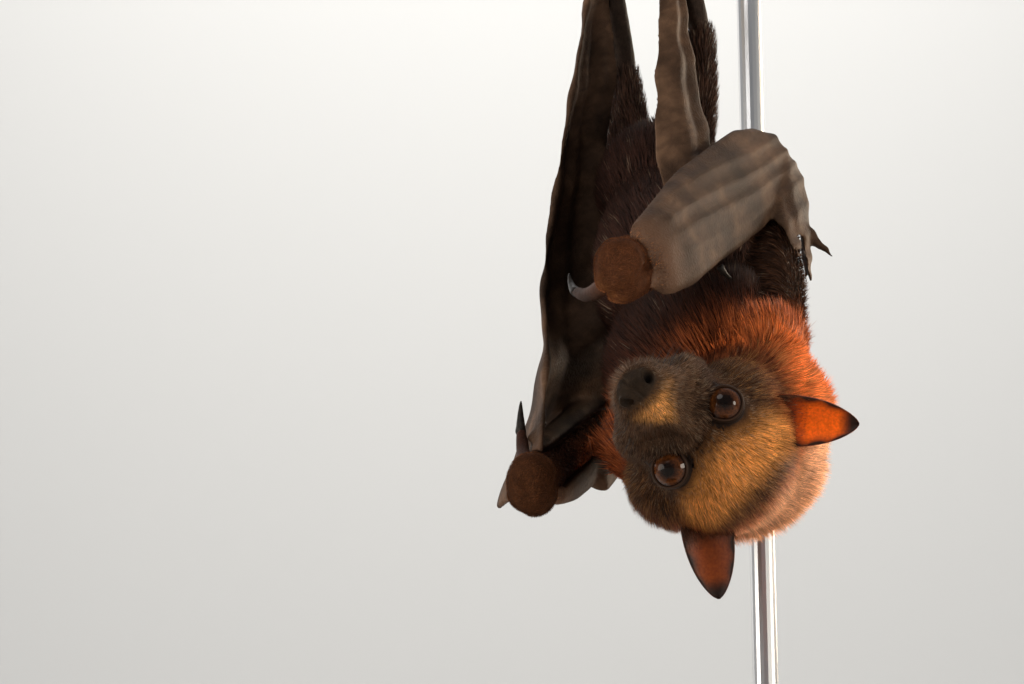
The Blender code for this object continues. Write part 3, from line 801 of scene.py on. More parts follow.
def ramp(material, source, stops):
    made = node(material, "ValToRGB", {"Fac": source})
    elements = made.color_ramp.elements
    while len(elements) < len(stops):
        elements.new(0.5)
    for element, (place, colour) in zip(elements, stops):
        element.position = place
        element.color = (*colour, 1.0)
    return made.outputs["Color"]


def relief(material, shader, height, distance, strength=1.0):
    """Bump from a height, with its real depth in metres."""
    bumped = node(material, "Bump", {"Height": height}, Distance=distance, Strength=strength)
    material.node_tree.links.new(bumped.outputs["Normal"], shader.inputs["Normal"])


print("helpers for materials ready")

# %% [markdown]
# ## Skin and hair finishes
# The skin under a bat's coat is dark and matt. The hair is dry keratin: it has a soft sheen at a
# grazing angle and no gloss. Both read their colour from the painted markings.


# %% Skin and hair finishes
def short_hair_skin():
    material, shader = finish_of("bat_skin_under_short_hair", Specular_IOR_Level=0.07)
    painted = node(material, "Attribute", attribute_name="Tone")
    grain = noise(material, 2600.0, 3.0)
    patch = noise(material, 420.0, 2.0)
    fleck = node(material, "Math", {"0": grain, "1": patch}, operation="MULTIPLY")
    shade = ramp(material, fleck.outputs[0], [(0.08, grey(0.45)), (0.42, grey(1.25))])
    coloured(material, shader, mixed(material, 1.0, painted.outputs["Color"], shade, "MULTIPLY"))
    rough = ramp(material, kept(material, "Bare"), [(0.2, grey(0.75)), (0.9, grey(0.6))])
    material.node_tree.links.new(rough, shader.inputs["Roughness"])
    relief(material, shader, grain, 0.25 * MM, 0.8)
    return material


def hair_finish():
    material, shader = finish_of("bat_hair_keratin", Roughness=0.62, Specular_IOR_Level=0.12)
    painted = node(material, "Attribute", attribute_name="Tone")
    coloured(material, shader, painted.outputs["Color"])
    return material


skin_finish = short_hair_skin()
hair = hair_finish()
bare_parts = [name for name in LEG_NODES + THUMB_NODES if "thigh" not in name]
bare = np.maximum(averaged(np.isin(part_name, bare_parts), edges, 4), nose_pad(points))
paint(skin, markings * (0.7 + 0.3 * bare)[:, None])
number(skin, "Bare", bare)
dressed(skin, skin_finish, "coat_fur", *FLESH)
print("skin dressed")

# %% [markdown]
# ## Eyes
# A flying fox sees in the dark with large dark eyes. Each is a ball with a clear bulging cornea
# over a red-brown iris and a round pupil. The ball is made of rings round the way it looks, so
# the angle off that way can be kept as an attribute, and the material draws iris and pupil by it.


# %% Eyes
def rings(count, segments, radius_at, looks, centre):
    """Points in rings round a direction, from nearly along it to nearly against it."""
    side = unit(np.cross(looks, (0.0, 0.0, 1.0)))
    upward = np.cross(side, looks)
    turns = 2 * np.pi * np.arange(segments) / segments
    around = np.cos(turns)[:, None] * side + np.sin(turns)[:, None] * upward
    points, angles = [], []
    for off in np.linspace(0.5, 179.5, count):
        angle = math.radians(off)
        radius = radius_at(off) * MM
        points.append(centre + radius * (math.cos(angle) * looks + math.sin(angle) * around))
        angles.append(np.full(segments, off))
    return np.concatenate(points), np.concatenate(angles)


def ring_faces(count, segments):
    """The squares between rings of points, and a face that closes each end."""
    faces = []
    for i in range(count - 1):
        for k in range(segments):
            after = (k + 1) % segments
            low, high = i * segments, (i + 1) * segments
            faces.append((low + k, high + k, high + after, low + after))
    faces.append(tuple(range(segments)))
    faces.append(tuple(range((count - 1) * segments, count * segments))[::-1])
    return faces


def outward(obj):
    """Turns every face so that it looks out of the mesh."""
    bm = bmesh.new()
    bm.from_mesh(obj.data)
    bmesh.ops.recalc_face_normals(bm, faces=bm.faces)
    bm.to_mesh(obj.data)
    bm.free()
    obj.data.shade_smooth()


def ball_radius(off):
    """The ball's radius this many degrees off its gaze: the clear cornea bulges a little."""
    return EYE_RADIUS - 0.1 + 0.35 * max(0.0, 1.0 - (off / 46) ** 2)


def eyeball(side):
    count, segments = 60, 72
    points, angles = rings(count, segments, ball_radius, EYE_LOOKS[side], middle(f"eye_{side}"))
    made = piece_from(f"eyeball_{side}", points, ring_faces(count, segments))
    outward(made)
    number(made, "Off", angles / 90)
    return made


def eye_finish():
    material, shader = finish_of(
        "eye_cornea_over_iris", Roughness=0.05, IOR=1.376, Specular_IOR_Level=0.22
    )
    mottle = noise(material, 1500.0, 4.0, Roughness=0.65)
    off_gaze = [
        (0.0, tone("#0b0503")),
        (0.18, tone("#120804")),
        (0.28, tone("#31190b")),
        (0.44, tone("#4a2811")),
        (0.57, tone("#281409")),
        (0.66, tone("#0a0503")),
    ]
    iris = ramp(material, kept(material, "Off"), off_gaze)
    flecks = ramp(material, mottle, [(0.35, grey(0.45)), (0.62, grey(1.35))])
    coloured(material, shader, mixed(material, 1.0, iris, flecks, "MULTIPLY"))
    return material


cornea = eye_finish()
for side in SIDES:
    dressed(eyeball(side), cornea, "eye_glass", f"eye_{side}")
print("eyes", EYE_RADIUS, "mm")

# %% [markdown]
# ## Eyelids
# The lids are a thin bare rim that hugs the ball, a shallow fold outside it, and then the skin of
# the face. Each pair is one ring of skin: it starts inside the ball, turns over the lid's edge and
# ends under the skin of the face, which a ray from the eye's middle finds.


# %% Eyelids
LID_WIDE, LID_HIGH = 61.0, 54.0  # half the opening, in degrees off the way the eye looks
LID_ROWS = 30


def lids(side):
    """A ring of skin from inside the eyeball, over the lid's edge, to under the face's skin."""
    sign = SIDES[side]
    looks = EYE_LOOKS[side]
    centre = middle(f"eye_{side}")
    inner = HEAD.along(0.35, -sign, -0.22)  # towards the corner beside the nose
    corner = unit(inner - looks * (inner @ looks))
    upward = np.cross(looks, corner) * -sign
    tree = BVHTree.FromObject(skin, bpy.context.evaluated_depsgraph_get())
    segments = 96
    points, rim = [], []
    for k in range(segments):
        turn = 2 * math.pi * k / segments
        across, high = math.cos(turn), math.sin(turn)
        opening = ((abs(across) / LID_WIDE) ** 1.8 + (abs(high) / LID_HIGH) ** 1.8) ** (-1 / 1.8)
        if across > 0.9:
            opening += 5.0 * (across - 0.9) / 0.1  # the inner corner runs to a point
        way = corner * across + upward * high
        for row in range(LID_ROWS):
            share = row / (LID_ROWS - 1)
            off = opening + 44.0 * max(0.0, share - 0.1) / 0.9
            angle = math.radians(off)
            direction = math.cos(angle) * looks + math.sin(angle) * way
            over = min(1.0, share / 0.16)
            height = EYE_RADIUS - 0.45 + 0.85 * math.sin(over * math.pi / 2)
            crease = 0.16 * math.exp(-(((share - 0.36) / 0.06) ** 2))
            hit = tree.ray_cast(Vector(centre), Vector(direction), 20 * MM)[3]
            face = (hit / MM) if hit else EYE_RADIUS
            blend = step(share, 0.25, 0.85)
            radius = height + (max(face, height * (1 - blend)) - height) * blend - crease
            radius -= 0.7 * step(share, 0.88, 1.0)
            points.append(centre + direction * radius * MM)
            rim.append(math.exp(-((share - 0.12) / 0.10) ** 2))
    faces = []
    for k in range(segments):
        after = (k + 1) % segments
        for row in range(LID_ROWS - 1):
            a, b = k * LID_ROWS + row, after * LID_ROWS + row
            faces.append((a, a + 1, b + 1, b))
    made = piece_from(f"eyelids_{side}", np.array(points), faces)
    outward(made)
    outer = np.array([vert.normal[:] for vert in made.data.vertices])
    if ((np.array(points) - centre) * outer).sum() < 0:
        made.data.flip_normals()
    number(made, "Rim", rim)
    return made


def lid_finish():
    material, shader = finish_of("eyelid_bare_skin", Roughness=0.55, Specular_IOR_Level=0.08)
    towards_rim = [(0.0, tone("#1e140e")), (0.55, tone("#21160f")), (0.9, tone("#302016"))]
    coloured(material, shader, ramp(material, kept(material, "Rim"), towards_rim))
    relief(material, shader, noise(material, 1800.0, 4.0), 0.12 * MM, 0.6)
    return material


lid_skin = lid_finish()
for side in SIDES:
    dressed(lids(side), lid_skin, "nose_skin")
print("lids", LID_ROWS, "rows")

# %% [markdown]
# ## Ears
# The ear is a thin leaf of skin rolled into a funnel at its foot. It is lofted here in two
# directions, along the ear and across it, with a back that hollows towards the front. Light from
# behind shows through a real ear and turns its inside orange; here that orange is painted
# backlight in the skin's colour, bright on the backlit right ear and dull on the left one, which
# is in painted shade. Its edge and tip, where the skin is thick and dark, stay brown.


# %% Ears
EAR_WIDTH = 7.4  # half the width at its widest, millimetres
EAR_LEAN = {"left": 1.2, "right": 0.0}
EAR_RAISED = {"left": 0.0, "right": 1.5}  # how far the foot is moved across the ear, millimetres
EAR_SKIN = 0.45  # half the thickness, millimetres


def ear(side):
    sign, lean = SIDES[side], EAR_LEAN[side]
    foot = HEAD.at(-22.5, sign * (15.5 - lean), 3.5 + lean)
    tip = HEAD.at(-31.5, sign * (31.5 - lean), 20.0 + lean)
    along = unit(tip - foot)
    face = HEAD.along(0.86, -sign * 0.02, 0.42)
    across = unit(np.cross(along, face))
    foot = foot + across * (EAR_RAISED[side] * MM * np.sign(across[2]))
    along = unit(tip - foot)
    across = unit(np.cross(along, face))
    face = np.cross(across, along)
    length = np.linalg.norm(tip - foot) / MM
    rows, columns = 44, 32
    inside, outside, edge, reach = [], [], [], []
    for i in range(rows + 1):
        share = -0.2 + 1.2 * i / rows
        along_share = max(0.0, share)
        taper = (1.0 - 0.1 * (1.0 - along_share) ** 3) * (1.0 - along_share**2.4) ** 0.7
        width = EAR_WIDTH * taper + 0.15
        hollow = 4.6 * (1.0 - along_share) ** 1.3 + 0.7
        for k in range(columns + 1):
            aside = 2.0 * k / columns - 1.0
            roll = 0.35 * max(0.0, 1.0 - abs(abs(aside) - 0.93) / 0.07)
            ridge = 0.10 * math.sin(share * 34.0) * (1 - aside**2) * (1 - share)
            back = hollow * (aside**2 - 0.6) + roll + ridge
            place = foot + MM * (along * length * share + across * width * aside + face * back)
            thin = EAR_SKIN * (0.55 + 0.45 * (1 - abs(aside) ** 6)) * (1.0 - 0.35 * along_share)
            lean_in = face - across * (1.6 * hollow / width * aside)
            inside.append(place + unit(lean_in) * thin * MM)
            outside.append(place - unit(lean_in) * thin * MM)
            rim_share = abs(aside) ** 4 * (1 + 0.25 * math.sin(share * 23.0 + 2 * aside))
            edge.append(max(rim_share, step(share, 0.72, 1.0)))
            reach.append(share)
    count = len(inside)
    faces = []
    wide = columns + 1
    for i in range(rows):
        for k in range(columns):
            a = i * wide + k
            faces.append((a, a + 1, a + wide + 1, a + wide))
            faces.append((count + a, count + a + wide, count + a + wide + 1, count + a + 1))
    border = list(range(wide))
    border += [i * wide + columns for i in range(1, rows + 1)]
    border += [rows * wide + k for k in range(columns - 1, -1, -1)]
    border += [i * wide for i in range(rows - 1, 0, -1)]
    for first, second in zip(border, border[1:] + border[:1]):
        faces.append((second, first, count + first, count + second))
    made = piece_from(f"ear_leaf_{side}", np.array(inside + outside), faces)
    outward(made)
    number(made, "Edge", edge * 2)
    number(made, "Reach", reach * 2)
    number(made, "Inner", [1.0] * count + [0.0] * count)
    return made


def ear_finish(name, painted_backlight, middle_tone, dark):
    """Thin ear skin: painted backlight in the hollow, middle tone round it, dark at the rim and on
    the back.
    """
    material, shader = finish_of(
        name,
        Roughness=0.5,
        Specular_IOR_Level=0.15,
        Subsurface_Weight=0.35,
        Subsurface_Radius=(0.004, 0.0012, 0.0004),
    )
    stops = [(0.12, dark), (0.26, middle_tone), (0.44, painted_backlight), (0.76, painted_backlight), (0.95, dark)]
    along = ramp(material, kept(material, "Reach"), [(place, tone(code)) for place, code in stops])
    rim = ramp(material, kept(material, "Edge"), [(0.1, grey(0.0)), (0.8, grey(1.0))])
    inside = mixed(material, rim, along, solid(dark))
    both = mixed(material, kept(material, "Inner"), solid(middle_tone), inside)
    grain = noise(material, 1300.0, 4.0)
    mottle = ramp(material, grain, [(0.3, grey(0.72)), (0.7, grey(1.15))])
    coloured(material, shader, mixed(material, 1.0, both, mottle, "MULTIPLY"))
    relief(material, shader, grain, 0.1 * MM, 0.5)
    return material


# The right ear's bright tones are painted backlight; the left ear's duller ones are the same skin in
# painted shade.
EAR_TONES = {  # glow, middle and dark
    "left": ("#783611", "#54270e", "#241510"),
    "right": ("#f06404", "#963608", "#2b1409"),
}
EARS = {}
for side in SIDES:
    EARS[side] = ear(side)
    thin_skin = ear_finish(f"ear_thin_skin_{side}", *EAR_TONES[side])
    dressed(EARS[side], thin_skin, "ear_skin", f"ear_{side}")
print("ears done")

# %% [markdown]
# ## The coat as tufts
# A bat has some thousands of hairs on each square centimetre, far too many to model one by one.
# Hair clings together in small locks, so each lock is one thin solid spike here: a triangle at
# its root and a point, and in longer hair one more triangle half way, where it bends. Roots are
# spread evenly over the skin, every spike follows the lie of the coat, and its rise is the depth
# of the coat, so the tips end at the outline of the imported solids.


# %% Roots spread over the skin
def roots_on(mesh_points, corners, density, random):
    """Even random roots: the triangle of each and its weights there. Density is per square mm."""
    a, b, c = (mesh_points[corners[:, k]] for k in range(3))
    area = np.linalg.norm(np.cross(b - a, c - a), axis=1) / 2 / MM**2
    wanted = np.cumsum(area * density[corners].mean(axis=1)) + random.random()
    count = np.diff(np.floor(wanted).astype(int), prepend=0)
    owner = np.repeat(np.arange(len(corners)), count)
    first, second = random.random((2, len(owner)))
    over = first + second > 1
    first[over], second[over] = 1 - first[over], 1 - second[over]
    shares = np.stack((1 - first - second, first, second), axis=1)
    return corners[owner], shares


def at_roots(values, corners, shares):
    """What each root gets of a value that the points of its triangle have."""
    found = values[corners]
    return (found * shares.reshape(shares.shape + (1,) * (found.ndim - 2))).sum(axis=1)


def drift(points, size, seed):
    """A smooth random direction that changes over this many millimetres, for hair that wanders."""
    random = np.random.default_rng(seed)
    total = np.zeros_like(points)
    for _ in range(5):
        waves = random.normal(size=(3, 3)) / (size * MM)
        phase = random.random(3) * 2 * np.pi
        total += np.sin(points @ waves + phase)
    return total / 3


def gathered(tips, roots, size, pull):
    """Tips drawn towards the middle of the lock that they share."""
    cells = np.floor(roots / (size * MM)).astype(int)
    _, owner = np.unique(cells, axis=0, return_inverse=True)
    owner = owner.ravel()
    count = np.bincount(owner)
    centre = np.stack([np.bincount(owner, weights=tips[:, k]) / count for k in range(3)], axis=1)
    return tips + (centre[owner] - tips) * pull


print("helpers for the coat ready")

# %% [markdown]
# ## Where a tuft's colour is kept
# Each tuft gets a place on a UV map. The skin is unrolled round the part's own long way like a
# label off a tin, and each tuft has a small patch of that label at its root. The patch is wide
# enough to hold colour on every side of the tuft.


# %% Where a tuft's colour is kept
PATCH = 0.003  # of the width of the map
PALE_HAIR = tone("#a58f78")


def unrolled(points, axes, centre):
    """The place of each point on a label round the part, 0 to 1 each way."""
    away = (points - centre) / MM
    ahead = away @ axes.ahead
    turn = np.arctan2(away @ axes.left, away @ axes.up) / (2 * np.pi) + 0.5
    span = max(np.ptp(ahead), 1e-6)
    return 0.01 + 0.98 * turn, 0.01 + 0.98 * (ahead - ahead.min()) / span


def shared_cells(roots, size, random):
    """Which small cell of space each root is in, with ragged borders."""
    cells = np.floor(roots / (size * MM) + 0.35 * random.normal(size=roots.shape)).astype(int)
    return np.unique(cells, axis=0, return_inverse=True)[1].ravel()


def flecked(roots, size, random, pale, brindle):
    """A brightness for each root that its neighbours share, and which of the roots are pale."""
    owner = shared_cells(roots, size, random)
    bright = 0.35 + 1.3 * random.random(owner.max() + 1) ** 1.3
    light = random.random(owner.max() + 1) < pale
    patch = shared_cells(roots, 3.2 * size, random)
    cloud = 1 + brindle * (2 * random.random(patch.max() + 1) - 1)
    return bright[owner] * cloud[patch] * (0.8 + 0.4 * random.random(len(roots))), light[owner]


def hair_bed(obj, lie, depth, markings):
    """What tufts need of a surface: its mesh, and the lie, depth and colour of the hair on it."""
    points, normals, _ = mesh_arrays(obj.data)
    return {
        "points": points,
        "normals": normals,
        "corners": face_corners(obj),
        "lie": np.broadcast_to(lie, points.shape),
        "depth": np.broadcast_to(depth, len(points)),
        "markings": np.broadcast_to(markings, points.shape),
    }


def spike_faces(bends, count):
    """The triangles of one spike's foot, bends and point, repeated for this many spikes."""
    faces = [(0, 1, 2)]
    for first in range(0, 3 * bends, 3):
        for k in range(3):
            after = (k + 1) % 3
            faces.append((first + k, first + k + 3, first + after + 3))
            faces.append((first + k, first + after + 3, first + after))
    last, point = 3 * bends, 3 * bends + 3
    faces += [(last + k, point, last + (k + 1) % 3) for k in range(3)]
    one = np.array(faces)[:, ::-1]
    return (np.arange(count)[:, None, None] * (point + 1) + one[None]).reshape(-1, 3)


def tufts(name, surface, where, per_mm2, width, axes, bends=1, long=1.7, wander=0.25, lock=2.5,
          pull=0.35, fleck=0.9, brindle=0.15, pale=0.1, frost=PALE_HAIR, root=0.4, tip=1.35, seed=1):
    """A coat piece: thin closed spikes over a surface, where this weight is above 0.

    width, lock and fleck are millimetres: across a spike, a lock and a patch of one brightness.
    long is the run of a hair for each millimetre of its rise. wander and pull are how far it
    strays and how far it joins its lock. brindle is how much larger patches vary, and pale is the
    share of patches whose tips turn to frost. root and tip are the brightness at each end.
    """
    random = np.random.default_rng(seed)
    corners, shares = roots_on(surface["points"], surface["corners"], where * per_mm2, random)
    roots = at_roots(surface["points"], corners, shares)
    upward = unit(at_roots(surface["normals"], corners, shares))
    way = at_roots(surface["lie"], corners, shares)
    rise = at_roots(surface["depth"], corners, shares)
    colour = at_roots(surface["markings"], corners, shares)
    count = len(roots)
    way = way + wander * drift(roots, 5.0, seed) + 0.16 * random.normal(size=(count, 3))
    way = unit(way - upward * (way * upward).sum(axis=1)[:, None])
    aside = np.cross(upward, way)
    rise = rise * (0.75 + 0.35 * random.random(count))
    run = rise * long * (0.8 + 0.5 * random.random(count))
    places = [0.0, 1.0] if bends == 0 else [0.0, 0.5, 1.0]
    spine = []
    for share in places:
        height = rise * (1.55 * share - 0.55 * share**2) - 0.25
        spine.append(roots + MM * (way * (run * share)[:, None] + upward * height[:, None]))
    tip_move = gathered(spine[-1], roots, lock, pull) - spine[-1]
    for index, share in enumerate(places):
        spine[index] = spine[index] + tip_move * share**2
    half = width * MM * (0.7 + 0.6 * random.random(count))[:, None] / 2
    verts = []
    for index, share in enumerate(places[:-1]):
        narrow = 1.0 - 0.35 * share
        verts.append(spine[index] - aside * half * narrow)
        verts.append(spine[index] + aside * half * narrow)
        verts.append(spine[index] + upward * half * narrow * 0.8)
    verts.append(spine[-1])
    verts = np.clip(np.stack(verts, axis=1), *np.array(cad_box))
    every = spike_faces(bends, count)
    made = piece_from(name, verts.reshape(-1, 3), every)
    # Each spike is darker at the root and brighter at the tip: partly the hair's own banding, partly
    # painted shade deep in the coat and painted light on the tips.
    shade = np.array([root] * 3 + [0.3 * root + 0.7 * tip] * 3 * bends + [tip])
    bright, light = flecked(roots, fleck, random, pale, brindle)
    colour = (colour * bright[:, None])[:, None] * shade[None, :, None]
    silver = np.array([0.05] * 3 + [0.35] * 3 * bends + [0.5])
    colour[light] += (frost - colour[light]) * silver[None, :, None]
    paint(made, colour.reshape(-1, 3))
    across, high = unrolled(roots, axes, roots.mean(axis=0))
    spread = [-0.5, 0.0, 0.5]
    offset = [(x, share - 0.5) for share in places[:-1] for x in spread] + [(0.0, 0.5)]
    offset = np.array(offset) * PATCH
    place = np.stack((across, high), axis=1)[:, None] + offset[None]
    layer = made.data.uv_layers.new(name="OFBake")
    layer.data.foreach_set("uv", place.reshape(-1, 2)[every.ravel()].astype(np.float32).ravel())
    dressed(made, hair, "coat_fur")
    print(name, count, "tufts,", len(every), "triangles")


# %% [markdown]
# ## The parts of the coat
# The coat is made in pieces, each of one kind of hair: the velvet of the face, the longer hair of
# the crown and cheeks, the deep mantle, the trunk's, the short hair of the arms and the wrists'
# velvet. None grows close round an eye, where it would hang before it, or on the nose pad.

# %% The parts of the coat
body = hair_bed(skin, lie, depth, markings)
points = body["points"]
ahead, left, up = HEAD.read(points)
haired = np.ones(len(points))
for side in SIDES:
    forward, aside = beside_eye(points, side)
    haired *= np.where(forward > -2, step(aside, 7.0, 8.2), 1.0)
haired *= 1 - nose_pad(points)
in_face = on_head * step(ahead, -16, -4)
in_head = on_head * (1 - step(ahead, -16, -4))


def on_parts(*names):
    """1 on these parts of the body and 0 on the others, with a soft border."""
    members = [f"{name}{end}" for name in names for end in ("", "_left", "_right")]
    return averaged(np.isin(part_name, members), edges, 4)


tufts(
    "coat_face", body, haired * in_face, 16.0, 0.19, HEAD, bends=0, long=2.1, lock=1.0, pull=0.2,
    fleck=0.45, brindle=0.3, pale=0.16, root=0.3, tip=1.8, seed=11,
)
tufts(
    "coat_head", body, haired * in_head, 9.0, 0.23, HEAD, bends=0, long=1.9, lock=1.4, pull=0.25,
    fleck=0.5, brindle=0.5, pale=0.2, frost=tone("#e2a05f"), root=0.25, tip=1.75, seed=12,
)
tufts(
    "coat_neck", body, on_parts("neck"), 11.0, 0.27, TRUNK, long=1.9, lock=1.6, pale=0.02,
    root=0.7, tip=1.3, seed=13,
)
tufts(
    "coat_chest", body, on_parts("chest"), 2.8, 0.34, TRUNK, long=1.9, lock=2.2, pale=0.003, seed=17
)
tufts("coat_belly", body, on_parts("belly"), 2.4, 0.38, TRUNK, long=2.0, pale=0.02, seed=14)
tufts("coat_rump", body, on_parts("rump"), 2.8, 0.36, TRUNK, long=2.0, pale=0.02, seed=18)
tufts(
    "coat_arms", body, on_parts("upper_arm", "forearm"), 1.6, 0.3, TRUNK, long=2.0, lock=1.6,
    pale=0.02, seed=15,
)
tufts(
    "coat_wrists", body, on_parts("wrist"), 12.0, 0.15, TRUNK, bends=0, long=2.0, wander=0.1,
    lock=0.7, pull=0.15, fleck=0.5, pale=0.0, root=0.7, tip=1.3, seed=19,
)
for side in SIDES:
    leaf_points = mesh_arrays(EARS[side].data)[0]
    reach = np.empty(len(leaf_points), np.float32)
    EARS[side].data.attributes["Reach"].data.foreach_get("value", reach)
    tipward = unit(leaf_points[reach > 0.9].mean(axis=0) - leaf_points[reach < 0.1].mean(axis=0))
    tufts(
        f"coat_ear_{side}", hair_bed(EARS[side], tipward, 0.55, FUR["ear"]),
        step(reach, 0.0, 0.06) * (1 - step(reach, 0.10, 0.42)), 9.0, 0.17, HEAD,
        bends=0, long=4.2, lock=0.9, pull=0.2, fleck=0.6, pale=0.04, root=0.8, seed=22,
    )
tufts("coat_thighs", body, on_parts("thigh"), 3.0, 0.32, TRUNK, long=2.0, pale=0.02, seed=16)

# %% [markdown]
# ## Whiskers set by Geometry Nodes
# The whiskers on the lip stand apart from the coat. A small node group sets them. It
# scatters points on a patch of skin, puts one hair on each, leans it between the way the skin
# faces and the lie of the coat, varies its size, and makes the copies real.


# %% Whiskers set by Geometry Nodes
def scatter_group(name):
    """Copies of a small shape over a surface: how many, how large and how far they lean."""
    tree = bpy.data.node_groups.new(name, "GeometryNodeTree")
    kinds = (
        ("Geometry", "NodeSocketGeometry"),
        ("Shape", "NodeSocketObject"),
        ("Finish", "NodeSocketMaterial"),
        ("Density", "NodeSocketFloat"),
        ("Smallest", "NodeSocketFloat"),
        ("Largest", "NodeSocketFloat"),
        ("Lean", "NodeSocketFloat"),
        ("Seed", "NodeSocketInt"),
    )
    for title, kind in kinds:
        tree.interface.new_socket(title, in_out="INPUT", socket_type=kind)
    tree.interface.new_socket("Geometry", in_out="OUTPUT", socket_type="NodeSocketGeometry")

    def add(kind, **links):
        made = tree.nodes.new(kind)
        for title, source in links.items():
            tree.links.new(source, made.inputs[title.replace("_", " ")])
        return made

    given = tree.nodes.new("NodeGroupInput").outputs
    spread = add(
        "GeometryNodeDistributePointsOnFaces",
        Mesh=given["Geometry"],
        Density=given["Density"],
        Seed=given["Seed"],
    )
    lie_of = add("GeometryNodeInputNamedAttribute")
    lie_of.data_type = "FLOAT_VECTOR"
    lie_of.inputs["Name"].default_value = "Lie"
    leaning = add("ShaderNodeVectorMath")
    leaning.operation = "SCALE"
    tree.links.new(lie_of.outputs["Attribute"], leaning.inputs[0])
    tree.links.new(given["Lean"], leaning.inputs["Scale"])
    way = add("ShaderNodeVectorMath")
    tree.links.new(spread.outputs["Normal"], way.inputs[0])
    tree.links.new(leaning.outputs["Vector"], way.inputs[1])
    turn = add("FunctionNodeAlignRotationToVector", Vector=way.outputs["Vector"])
    turn.axis = "Z"
    shape = add("GeometryNodeObjectInfo", Object=given["Shape"])
    size = add("FunctionNodeRandomValue", Seed=given["Seed"])
    size.data_type = "FLOAT"
    tree.links.new(given["Smallest"], size.inputs[2])
    tree.links.new(given["Largest"], size.inputs[3])
    copies = add(
        "GeometryNodeInstanceOnPoints",
        Points=spread.outputs["Points"],
        Instance=shape.outputs["Geometry"],
        Rotation=turn.outputs["Rotation"],
        Scale=size.outputs[1],
    )
    real = add("GeometryNodeRealizeInstances", Geometry=copies.outputs["Instances"])
    finished = add(
        "GeometryNodeSetMaterial", Geometry=real.outputs["Geometry"], Material=given["Finish"]
    )
    output = tree.nodes.new("NodeGroupOutput")
    tree.links.new(finished.outputs["Geometry"], output.inputs["Geometry"])
    return tree


def patch_of(name, source_points, source_faces, wanted, lies):
    """The faces whose points are all wanted, as a mesh that carries the lie of the coat."""
    chosen = source_faces[wanted[source_faces].all(axis=1)]
    used, renumbered = np.unique(chosen.ravel(), return_inverse=True)
    made = piece_from(name, source_points[used], renumbered.reshape(chosen.shape))
    layer = made.data.attributes.new("Lie", "FLOAT_VECTOR", "POINT")
    layer.data.foreach_set("vector", np.asarray(lies[used], np.float32).ravel())
    return made


def scattered(obj, tree, shape, finish, slot, **values):
    """Replaces a patch with the shapes that the node group sets on it, and drops the shape."""
    modifier = obj.modifiers.new("scatter", "NODES")
    modifier.node_group = tree
    values.update(Shape=shape, Finish=finish)
    for item in tree.interface.items_tree:
        if item.in_out == "INPUT" and item.name in values:
            modifier[item.identifier] = values[item.name]
    settled(obj)
    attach(obj, "root")
    bpy.data.objects.remove(shape)
    print(obj.name, triangles(obj), "triangles")


def bent_hair(name, thick, bend, sides=4, steps=5):
    """A hair one millimetre long that stands up along Z and bends to one side."""
    points = []
    for i in range(steps + 1):
        share = i / steps
        radius = thick / 2 * (1 - 0.85 * share)
        for k in range(sides):
            turn = 2 * math.pi * k / sides
            aside = radius * math.cos(turn) + bend * share**2
            points.append((aside, radius * math.sin(turn), share))
    faces = [face[::-1] for face in ring_faces(steps + 1, sides)]
    return piece_from(name, np.array(points) * MM, faces)


scatter = scatter_group("scatter_on_skin")
stiff_hair = finish_of("stiff_hair_keratin", Roughness=0.5, Base_Color=solid("#1c1511"))[0]
on_lip = (ahead > 10) & (ahead < 21) & (abs(left) > 5.5) & (up > -17) & (up < -9)
back_and_out = unit(lie + 0.35 * unit(body["normals"]))
whiskers = patch_of("whiskers", points, body["corners"], on_lip, back_and_out)
scattered(
    whiskers, scatter, bent_hair("whisker_shape", 0.022, 0.14), stiff_hair, "coat_fur",
    Density=0.16e6, Smallest=4.0, Largest=8.0, Lean=0.9, Seed=5,
)

# %% [markdown]
# ## Wings
# The wing of a bat is a hand: very long fingers with thin bare skin between them. At rest the
# fingers lie folded together along the forearm, and the skin falls in soft folds from the arm to
# the ankle. The folded hand and the web are wrapped as one piece here. Long ridges show where the
# finger bones run, and finer creases cross the skin between them. Where the skin ends beside the
# body it is drawn in under the coat, and short hair runs on to it from the wrist.


# %% Wings
WING_LIES = {  # along the folded fingers from the wrist, and the way their flat side faces
    "right": (unit((0.36, 0.80, 0.48)), unit((0.81, -0.53, 0.235))),
    "left": (unit((0.18, 0.85, 0.46)), unit((-0.80, 0.20, -0.56))),
}
TUCK_REACH = {"limb": (1.0, 3.0), "wrist": (2.0, 5.5)}  # full to none, millimetres off the skin
TUCK_REACH.update({name: (5.0, 9.0) for name in TRUNK_NODES})
FINGER_APART = 6.4  # from one finger's ridge to the next, millimetres


def tucked(points, edges, loose):
    """Draws thin skin that ends beside the body in under its coat. loose is 1 where it may move."""
    tree = BVHTree.FromObject(skin, bpy.context.evaluated_depsgraph_get())
    moves = np.zeros_like(points)
    for index in np.flatnonzero(loose > 0.5):
        place, _, face, away = tree.find_nearest(Vector(points[index]), 9 * MM)
        if place is None:
            continue
        owner = family(part_name[skin.data.polygons[face].vertices[0]])
        start, end = TUCK_REACH.get(owner, TUCK_REACH["limb"])
        away = away / MM
        pull = (away + 1.0) * (1 - float(step(np.array(away), start, end)))
        moves[index] = (np.array(place) - points[index]) / max(away * MM, 1e-6) * pull * MM
    return points + averaged(moves, edges, 5)


